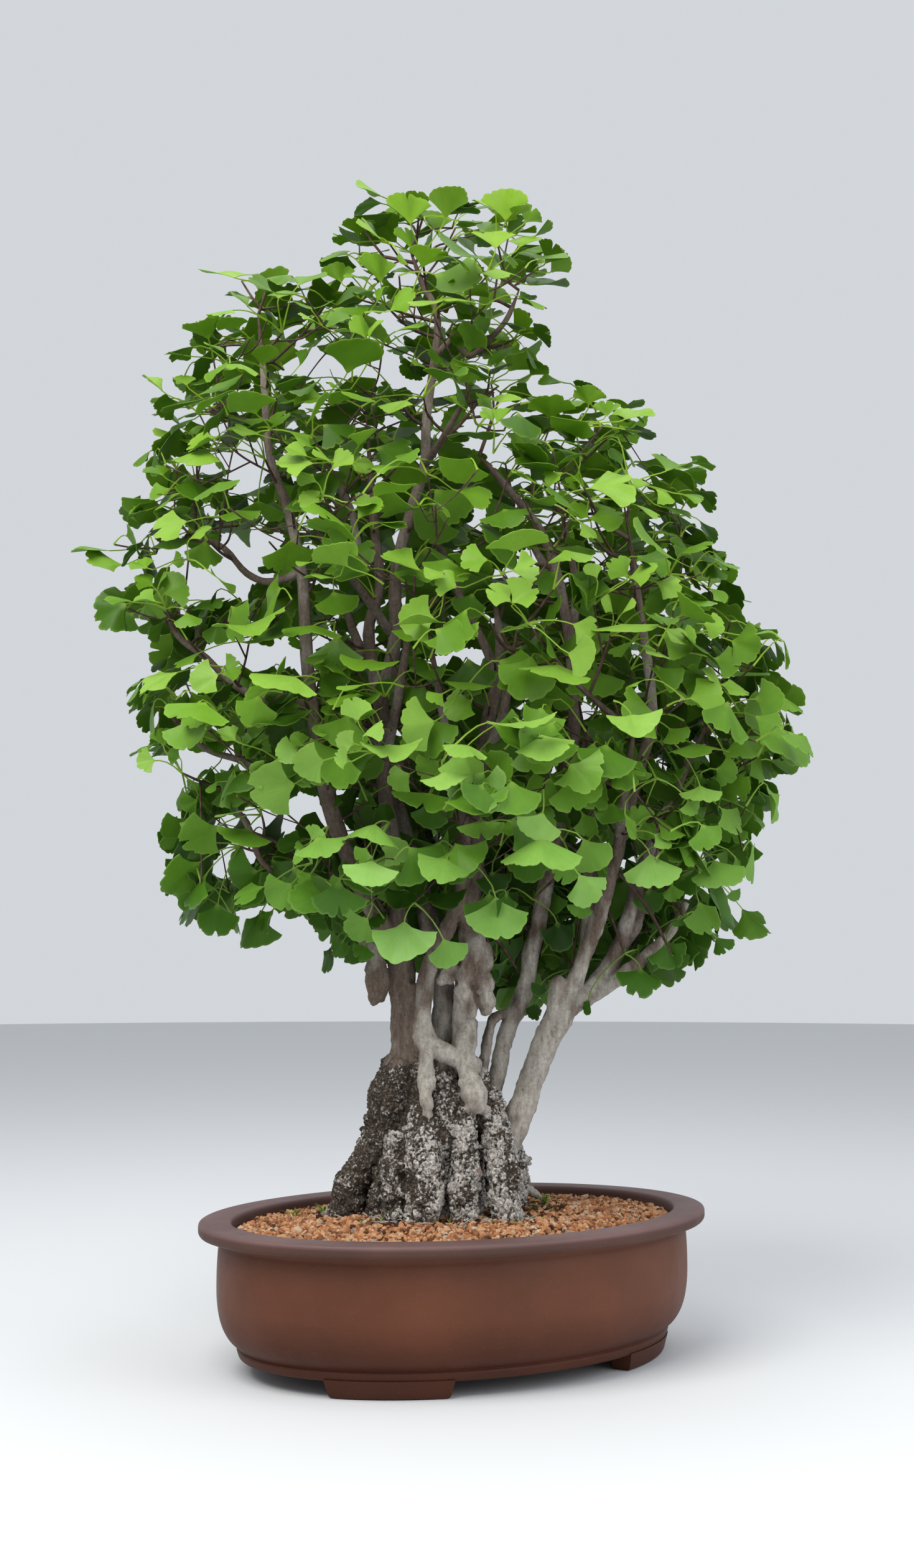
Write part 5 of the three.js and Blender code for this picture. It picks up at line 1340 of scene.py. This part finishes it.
def crown_span(z):
    """The crown's leftmost and rightmost u at a height."""
    a, b = CROWN_OUTLINE, np.roll(CROWN_OUTLINE, -1, axis=0)
    hit = (a[:, 1] > z) != (b[:, 1] > z)
    u = a[hit, 0] + (z - a[hit, 1]) * (b[hit, 0] - a[hit, 0]) / (b[hit, 1] - a[hit, 1])
    return u.min(), u.max()


def spur_places(rng, spurs):
    """Places for the short shoots, with those given: most are in the crown's outer layer, evenly spread."""
    low, high = CROWN_OUTLINE.min(axis=0), CROWN_OUTLINE.max(axis=0)
    for _ in range(SPUR_TRIES):
        u, z = rng.uniform(low[0], high[0]), rng.uniform(low[1], high[1] - 4)
        layer = 1 - 0.75 * rng.random() ** 1.6
        place = np.array([u, depth_at(u, z) * layer * rng.choice((-1, 1)), z])
        low_down = clamp((520 - z) / 80)
        if inset([place])[0] < SPUR_INSET or in_gap([place]):
            continue
        if noise.noise(Vector(place) * 0.021) < -0.28 - 0.4 * low_down:
            continue
        if np.linalg.norm(spurs - place, axis=1).min() < SPUR_SPACING - 5 * low_down:
            continue
        spurs = np.concatenate([spurs, [place]])
    return spurs


def crossings(blades, path):
    """The numbers of the blades' faces that a path runs through."""
    found = set()
    for a, b in zip(path[:-1, :3], path[1:, :3]):
        start, step = Vector(a), Vector(b - a)
        heading, left = step.normalized(), step.length
        while left > 0:
            hit, _, face, distance = blades.ray_cast(start, heading, left)
            if face is None:
                break
            found.add(face)
            start, left = hit + heading * 0.05, left - distance - 0.05
    return found


def blade_tree(leaves):
    """The leaves' upper faces, ready to be tested against paths."""
    points = np.concatenate([leaf.blade[:len(BLADE_FAN)] for leaf in leaves])
    faces = np.concatenate([BLADE_TOP + k * len(BLADE_FAN) for k in range(len(leaves))])
    return BVHTree.FromPolygons(points.tolist(), faces.tolist())


def connect(spurs, limbs, blades):
    """A twig from each spur to near wood, clear of the blades: paths of [u, v, z, radius]."""
    wood = np.concatenate([limb[2:] for limb in limbs])
    wood = wood[wood[:, 2] > TWIG_FLOOR]
    order = np.argsort([np.linalg.norm(wood[:, :3] - p, axis=1).min() for p in spurs])
    twigs = []
    for i in order:
        tip = spurs[i]
        away = np.linalg.norm(wood[:, :3] - tip, axis=1)
        hanging = tip[2] < HANGING_BELOW
        above = np.clip(tip[2] + 24 - wood[:, 2] if hanging else wood[:, 2] - tip[2] + 16, 0, None)
        outside = np.clip(np.abs(wood[:, 1]) - abs(tip[1]) + 16, 0, None)
        bare = np.clip(np.interp(seen(wood[:, :3])[:, 0], *FRONT_FLOOR.T) + 12 - wood[:, 2], 0, None)
        cost = away + (1.6 if hanging else 0.8) * above + 1.3 * outside + 2 * bare * (wood[:, 1] < 30)
        for start in wood[np.argsort(cost)[:TWIG_CHOICES:4]]:
            length = np.linalg.norm(start[:3] - tip)
            bend = start[:3] * 0.45 + tip * 0.55 + np.array([0, 0, (0.1 if hanging else -0.03) * length])
            bend[1] = 0.8 * start[1] + 0.2 * tip[1]
            thick = min(start[3] * 0.8, 0.9 + 0.012 * length)
            path = catmull([[*start[:3], thick], [*bend, 0.8 * thick + 0.15], [*tip, 0.75]], 4)
            if not crossings(blades, path):
                break
        twigs.append(path)
        wood = np.concatenate([wood, path[2:-3]])
    return twigs


def height_share(z):
    """0 at the crown's lowest leaves and 1 at its top."""
    return clamp((z - 330) / 600)


def depth_at(u, z):
    """Half the crown's depth behind a point of its front view."""
    left, right = crown_span(z)
    across = min(1.0, abs(2 * u - left - right) / (right - left))
    return np.interp(z, CROWN_DEPTH[:, 0], CROWN_DEPTH[:, 1]) * math.sqrt(1 - across ** 2)


def pick_shape(rng, shapes, z):
    """A blade shape: wide open fans low in the crown, narrower ones towards the top."""
    openness = clamp(rng.gauss(0.8 - 0.5 * height_share(z), 0.2))
    return shapes[round(openness * (BLADE_SHAPES - 1))]


def seen_leaf(rng, shapes, x, y, margin_x, margin_y, width, tone):
    """A leaf that shows in the picture where a row of SEEN_LEAVES says; its spur isn't chosen yet."""
    u, _, z = from_picture(x, y, 0)
    shape = pick_shape(rng, shapes, z)
    chord = shape[:, 1].max()
    lift = math.atan2(shape[BLADE_TIP, 2], shape[BLADE_TIP, 1])
    v = -depth_at(u, clamp(z, FOLIAGE_LOW_Z, FOLIAGE_HIGH_Z)) * (0.12 * tone - 0.15)
    neck = from_picture(x, y, v)
    shown = from_picture(margin_x, margin_y, v) - neck
    across_shown = width * (VIEW_DISTANCE + v) / FOCAL_PIXELS
    length = np.linalg.norm(shown)
    size = min(76, max(across_shown, length / chord))
    towards = math.acos(min(1.0, length / (size * chord)))
    high = clamp((z - 430) / 350)
    roll = math.acos(min(1.0, across_shown / size)) * rng.choice((-1, 1)) * (1 - high)
    side = rng.choice((-1, 1)) if high > 0.5 else -1
    for near in (side, -side):
        reach = unit(shown) * math.cos(towards) + np.array([0, near * math.sin(towards), 0])
        level = unit(np.cross(reach, [0, 0.75 * high - 1, 0.3 + 0.7 * high]))
        facing = unit(np.cross(level, reach) * math.cos(roll) + level * math.sin(roll))
        along = reach * math.cos(lift) - facing * math.sin(lift)
        facing = facing * math.cos(lift) + reach * math.sin(lift)
        # Painted shade: the tint follows the tone, darker for leaves deep in the crown.
        tint = clamp(0.112 * tone - 0.04 + rng.gauss(0, 0.07))
        leaf = Leaf(shape, neck, neck, along, facing, size, tint)
        if in_box(leaf.blade):
            return leaf
    return None


def choose_spur(leaf, spurs):
    """Gives a leaf the nearest spur that its stalk can reach, or a new one behind and below its neck."""
    if len(spurs):
        places = np.array(spurs)
        away = np.linalg.norm(places - leaf.neck, axis=1) + 60 * ((places - leaf.neck) @ leaf.along > 4)
        if away.min() < STALK_REACH:
            leaf.foot = places[away.argmin()]
            return
    left, right = crown_span(clamp(leaf.neck[2], FOLIAGE_LOW_Z, FOLIAGE_HIGH_Z))
    inward = unit([(left + right) / 2 - leaf.neck[0], -leaf.neck[1] + 5, -12])
    leaf.foot = leaf.neck - 20 * leaf.along * [1, 0.4, 1] + 16 * inward
    spurs.append(leaf.foot)


def whorl(rng, place, shapes):
    """The leaves of one spur. Low in the crown they hang and face outwards; at the top they rise. Their tint
    holds painted shade and light.
    """
    left, right = crown_span(place[2])
    out = unit([(place[0] - (left + right) / 2) / (right - left), place[1] / 230, 0])
    height = height_share(place[2])
    depth = depth_at(place[0], clamp(place[2], FOLIAGE_LOW_Z, FOLIAGE_HIGH_Z))
    inside = 1 - min(1.0, abs(place[1]) / (1 + depth))
    sunny = 0.1 * clamp(place[0] / 120) * (1 - height)
    count = rng.choice((3, 4, 4, 5))
    start = rng.uniform(0, FULL_TURN)
    leaves = []
    for k in range(count):
        for _ in range(5):
            azimuth = start + FULL_TURN * (k + rng.uniform(-0.3, 0.3)) / count
            level = unit(np.array([math.cos(azimuth), math.sin(azimuth), 0]) + 0.75 * out)
            droop = math.radians(rng.gauss(60 - 92 * height, 26))
            along = level * math.cos(droop) - np.array([0, 0, math.sin(droop)])
            lean = 0.8 - 0.6 * height
            facing = lean * out + np.array([rng.gauss(0, 0.36), rng.gauss(0, 0.36), 0.4 + 0.8 * height])
            stalk = rng.uniform(18, 44)
            rise = math.radians(rng.uniform(-5, 50))
            neck = place + stalk * (level * math.cos(rise) + np.array([0, 0, math.sin(rise)])) * 0.8
            width = LEAF_WIDTH * clamp(rng.gauss(1.0 - 0.3 * height, 0.15), 0.55, 1.2)
            # The tint carries painted shade and light: darker deep inside the crown and lighter for low
            # leaves on the right; it is also a little lighter higher up.
            tint = clamp(rng.gauss(0.58 + 0.08 * height + sunny - 0.42 * inside, 0.14))
            leaf = Leaf(pick_shape(rng, shapes, place[2]), place, neck, along, facing, width, tint)
            if fits(leaf.blade):
                leaves.append(leaf)
                break
    return leaves


def make_foliage(material):
    """Every leaf, in one piece for each of the CAD model's shoot groups; returns the spurs' twigs."""
    rng = random.Random(23)
    names = sorted(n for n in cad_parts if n.startswith("leaf_cluster_"))
    boxes = [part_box(name) for name in names]
    middles = np.concatenate([tree_view([(low + high) / 2]) for low, high in boxes])
    shapes = [blade_shape(rng, k / (BLADE_SHAPES - 1)) for k in range(BLADE_SHAPES)]
    leaves, seen_spurs = [], []
    for leaf in (seen_leaf(rng, shapes, *seen_row) for seen_row in SEEN_LEAVES):
        if leaf:
            choose_spur(leaf, seen_spurs)
            leaves.append(leaf)
    # the middle, depth and clear room of each leaf that shows one by one
    kept = np.array([[*seen(leaf.blade).mean(axis=0), leaf.blade[:, 1].mean(),
                      0.36 * np.ptp(seen(leaf.blade), axis=0).max()] for leaf in leaves])
    spurs = spur_places(rng, np.concatenate([middles, seen_spurs]))
    knots = np.concatenate([catmull(limb, 5) for limb in TRUNKS])
    knots = knots[knots[:, 2] > STEM_WINDOW_FLOOR]
    knots = np.concatenate([seen(knots[:, :3]), knots[:, 1:2]], axis=1)
    for place in spurs:
        for leaf in whorl(rng, place, shapes):
            middle, depth = seen(leaf.blade).mean(axis=0), leaf.blade[:, 1].mean()
            away = np.linalg.norm(kept[:, :2] - middle, axis=1)
            if ((away < kept[:, 3] + 11) & (depth < kept[:, 2] + 12)).any() or hides_stem(leaf.blade, knots):
                continue
            leaves.append(leaf)
    in_picture = blade_tree(leaves[:len(kept)])
    # Twigs keep clear of the leaves in the picture, and other leaves that a twig or limb runs through go.
    for _ in range(2):
        bearing = np.unique([leaf.foot for leaf in leaves], axis=0)
        twigs = connect(bearing, skeleton(), in_picture)
        blades = blade_tree(leaves)
        pierced = {face // len(BLADE_TOP) for path in twigs + skeleton() for face in crossings(blades, path)}
        leaves = [leaf for k, leaf in enumerate(leaves) if k < len(kept) or k not in pierced]
    sheets = {name: Sheet("tint", "fan", "reach", "under") for name in names}
    for leaf in leaves:
        name = names[np.linalg.norm(middles - leaf.neck, axis=1).argmin()]
        leaf.add_to(sheets[name])
    for name, sheet in sheets.items():
        piece = sheet.build(name.replace("leaf_cluster", "leaf_shoots"), material)
        piece.data.set_sharp_from_angle(angle=math.radians(60))
        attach(piece, "root")
        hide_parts(name)
    return twigs


# ---- Soil and what grows on it -------------------------------------------------------------------

SOIL_SIDES = 96
SOIL_RINGS = np.array([30, 60, 90, 120, 150, 170, 186.2])  # half lengths of the surface's ovals
UNDER_GRANULES = 2.2  # how far the mass lies below the granules' surface
GRANULES = 9000
TUFTS = 125
# Dark patches of humus and moss: u, v, half width, half depth and strength.
HUMUS = [(66, 26, 20, 26, 1.0), (-98, 14, 17, 16, 0.9), (-16, -48, 62, 14, 0.75), (40, -24, 24, 22, 0.6)]


def soil_height(x, y):
    """The soil's surface over a point in the pot's axes, in millimetres."""
    around = np.hypot(x / (SOIL_HALF_LENGTH + 2), y / (SOIL_HALF_WIDTH + 2))
    return SOIL_EDGE_Z + (SOIL_CROWN_Z - SOIL_EDGE_Z) * np.clip(1.25 * (1 - around), 0, 1)


def humus_share(x, y):
    """The share of dark humus among the granules, over a point in the pot's axes."""
    u, v = turned(x, y)
    return max(strength * math.exp(-((u - at_u) / wide) ** 2 - ((v - at_v) / deep) ** 2)
               for at_u, at_v, wide, deep, strength in HUMUS)


def make_soil_mass(material):
    """The mounded mass under the granules."""
    angles = np.linspace(0, 2 * math.pi, SOIL_SIDES, endpoint=False)
    x, y = oval(SOIL_RINGS[:, None], angles[None, :])
    top = pot_point(x, y, soil_height(x, y) - UNDER_GRANULES).reshape(-1, 3)
    x_low, y_low = oval(np.full(SOIL_SIDES, 181.4), angles)
    floor = FLOOR_TOP + 0.3
    low = pot_point(x_low, y_low, floor)
    middles = pot_point([0, 0], [0, 0], [SOIL_CROWN_Z - UNDER_GRANULES, floor])
    quads, fans = ring_faces(len(SOIL_RINGS) + 1, SOIL_SIDES)
    sheet = Sheet("tint")
    # the rings run outwards and then down, so every face is turned over
    sheet.add(np.concatenate([top, low, middles]), quads[:, [0, 3, 2, 1]], fans[:, [1, 0, 2]], tint=0.2)
    base = sheet.build("soil_mass", material)
    fix_normals(base)
    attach(base, "root")
    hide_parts("soil")


def make_granules(material):
    """The granules on top: none under the root base, and none that the others would hide."""
    rng = np.random.default_rng(5)
    sheet = Sheet("tint")
    radius = SOIL_HALF_LENGTH * np.sqrt(rng.uniform(0, 1, GRANULES))
    x, y = oval(radius, rng.uniform(0, 2 * math.pi, GRANULES))
    size = rng.uniform(1.2, 3.1, GRANULES)
    size[rng.uniform(0, 1, GRANULES) < 0.12] *= 1.25
    z = soil_height(x, y) - 1.6 + rng.uniform(-1.0, 1.4, GRANULES)
    shown = np.hypot(x / (SOIL_HALF_LENGTH - size), y / (SOIL_HALF_WIDTH - size)) < 1
    shown &= clearance(np.stack([*turned(x, y), z], axis=1), [catmull(lobe, 6) for lobe in ROOT_LOBES]) > -6
    shown &= z + size > soil_height(x, y) - 0.15
    for k in np.flatnonzero(shown):
        jitter = rng.uniform(0.72, 1.2, (12, 1))
        stretch = rng.uniform(0.75, 1.2, 3)
        spin = Matrix.Rotation(rng.uniform(0, 6.3), 3, Vector(rng.normal(size=3)).normalized())
        ball = (ICO_POINTS * jitter * stretch) @ np.array(spin) * size[k]
        tint = float(np.clip(rng.beta(2.6, 2.2) + (0.35 if rng.uniform() < 0.05 else 0), 0, 1))
        if rng.uniform() < humus_share(x[k], y[k]):
            tint *= 0.16
        sheet.add(pot_point(*(ball + [x[k], y[k], z[k]]).T), ICO_FACES, tint=tint)
    piece = sheet.build("soil_granules", material, smooth=False)
    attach(piece, "root")
    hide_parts("soil")


def add_blade(sheet, foot, direction, length, width, tint):
    """A narrow leaf that arches outwards, as a thin closed strip that narrows to its end."""
    direction = unit(direction)
    t = np.linspace(0, 1, 6)[:, None]
    out = unit([direction[0], direction[1], 0.01])
    path = foot + length * (t * direction + 0.35 * t ** 2 * (out - [0, 0, 0.6]))
    across = unit(np.cross(direction, [0, 0, 1.0]))
    normal = unit(np.cross(across, direction))
    half = 0.5 * width * np.sin(math.pi * np.linspace(0.18, 0.98, 6))[:, None]
    rings = np.stack([path - half * across, path + 0.12 * half * normal, path + half * across,
                      path - 0.12 * half * normal - 0.12 * normal], axis=1).reshape(-1, 3)
    ends = [[3, 2, 1, 0], [20, 21, 22, 23]]
    sheet.add(row(rings), ring_faces(6, 4)[0], ends, tint=tint)


def make_sprig(name, rng, blades, length, leaflets, material):
    """A seedling: arching blades, or stems with pairs of leaflets, from one foot in the soil."""
    low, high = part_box(name)
    u, v, _ = tree_view([(low + high) / 2])[0]
    foot = np.array([u, v, surface_at(u, v) - 1.5])
    sheet = Sheet("tint")
    for k in range(blades):
        angle = FULL_TURN * (k + rng.uniform(-0.3, 0.3)) / blades
        direction = unit([math.cos(angle), math.sin(angle), rng.uniform(1.2, 3)])
        reach = length * rng.uniform(0.7, 1.15)
        tint = rng.random()
        if not leaflets:
            add_blade(sheet, foot, direction, reach, 1.9, tint)
            continue
        middle, tip = foot + 0.5 * reach * direction, foot + reach * direction
        stem = catmull([[*foot, 0.35], [*middle, 0.3], [*tip, 0.2]], 4)
        add_tube(sheet, row(stem[:, :3]), stem[:, 3] * MM, 5, tint=tint)
        for pair in range(leaflets):
            at = foot + reach * (0.3 + 0.7 * pair / leaflets) * direction
            for side in (-1, 1):
                aside = unit(np.cross(direction, [0, 0, 1.0])) * side
                add_blade(sheet, at, aside + 0.5 * direction, rng.uniform(2.6, 4.2), 1.7, tint)
    piece = sheet.build(name.replace("weed", "sprig"), material)
    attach(piece, "root")
    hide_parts(name)


def make_moss(rng, material):
    """Tiny tufts of moss on the humus."""
    sheet = Sheet("tint")
    for _ in range(TUFTS):
        u, v, wide, deep, _ = rng.choice(HUMUS)
        u, v = rng.gauss(u, 0.5 * wide), rng.gauss(v, 0.5 * deep)
        foot = np.array([u, v, surface_at(u, v) - 0.3])
        for _ in range(rng.choice((3, 4, 6))):
            angle, rise = rng.uniform(0, FULL_TURN), rng.uniform(0.5, 2.5)
            start = foot + [rng.uniform(-1, 1), rng.uniform(-1, 1), 0]
            direction = [math.cos(angle), math.sin(angle), rise]
            add_blade(sheet, start, direction, rng.uniform(1.4, 3.8), 0.9, rng.random())
    piece = sheet.build("moss", material)
    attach(piece, "root")


# ---- Everything ----------------------------------------------------------------------------------

make_camera()
make_studio()
make_pot(clay_material())
granule_clay = granule_material()
make_soil_mass(granule_clay)
make_granules(granule_clay)
make_wood(bark_material(), make_foliage(leaf_material()))

plastic = cloudy_material("screen_plastic", (0.012, 0.016, 0.012), (0.03, 0.036, 0.03), 300, 0.6)
metal = cloudy_material("wire_metal", (0.38, 0.31, 0.22), (0.52, 0.44, 0.33), 200, 0.35, 0.9)
sprig_green = sprig_material()
weed_rng = random.Random(31)
make_sprig("weed_left", weed_rng, 7, 11, 0, sprig_green)
make_sprig("weed_by_root", weed_rng, 8, 12, 0, sprig_green)
make_sprig("weed_right", weed_rng, 6, 11, 4, sprig_green)
make_moss(weed_rng, sprig_green)
for name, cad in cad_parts.items():
    chosen = {"drainage": plastic, "screen": metal}.get(name.split("_")[0])
    if chosen:
        cad.data.materials.clear()
        cad.data.materials.append(chosen)
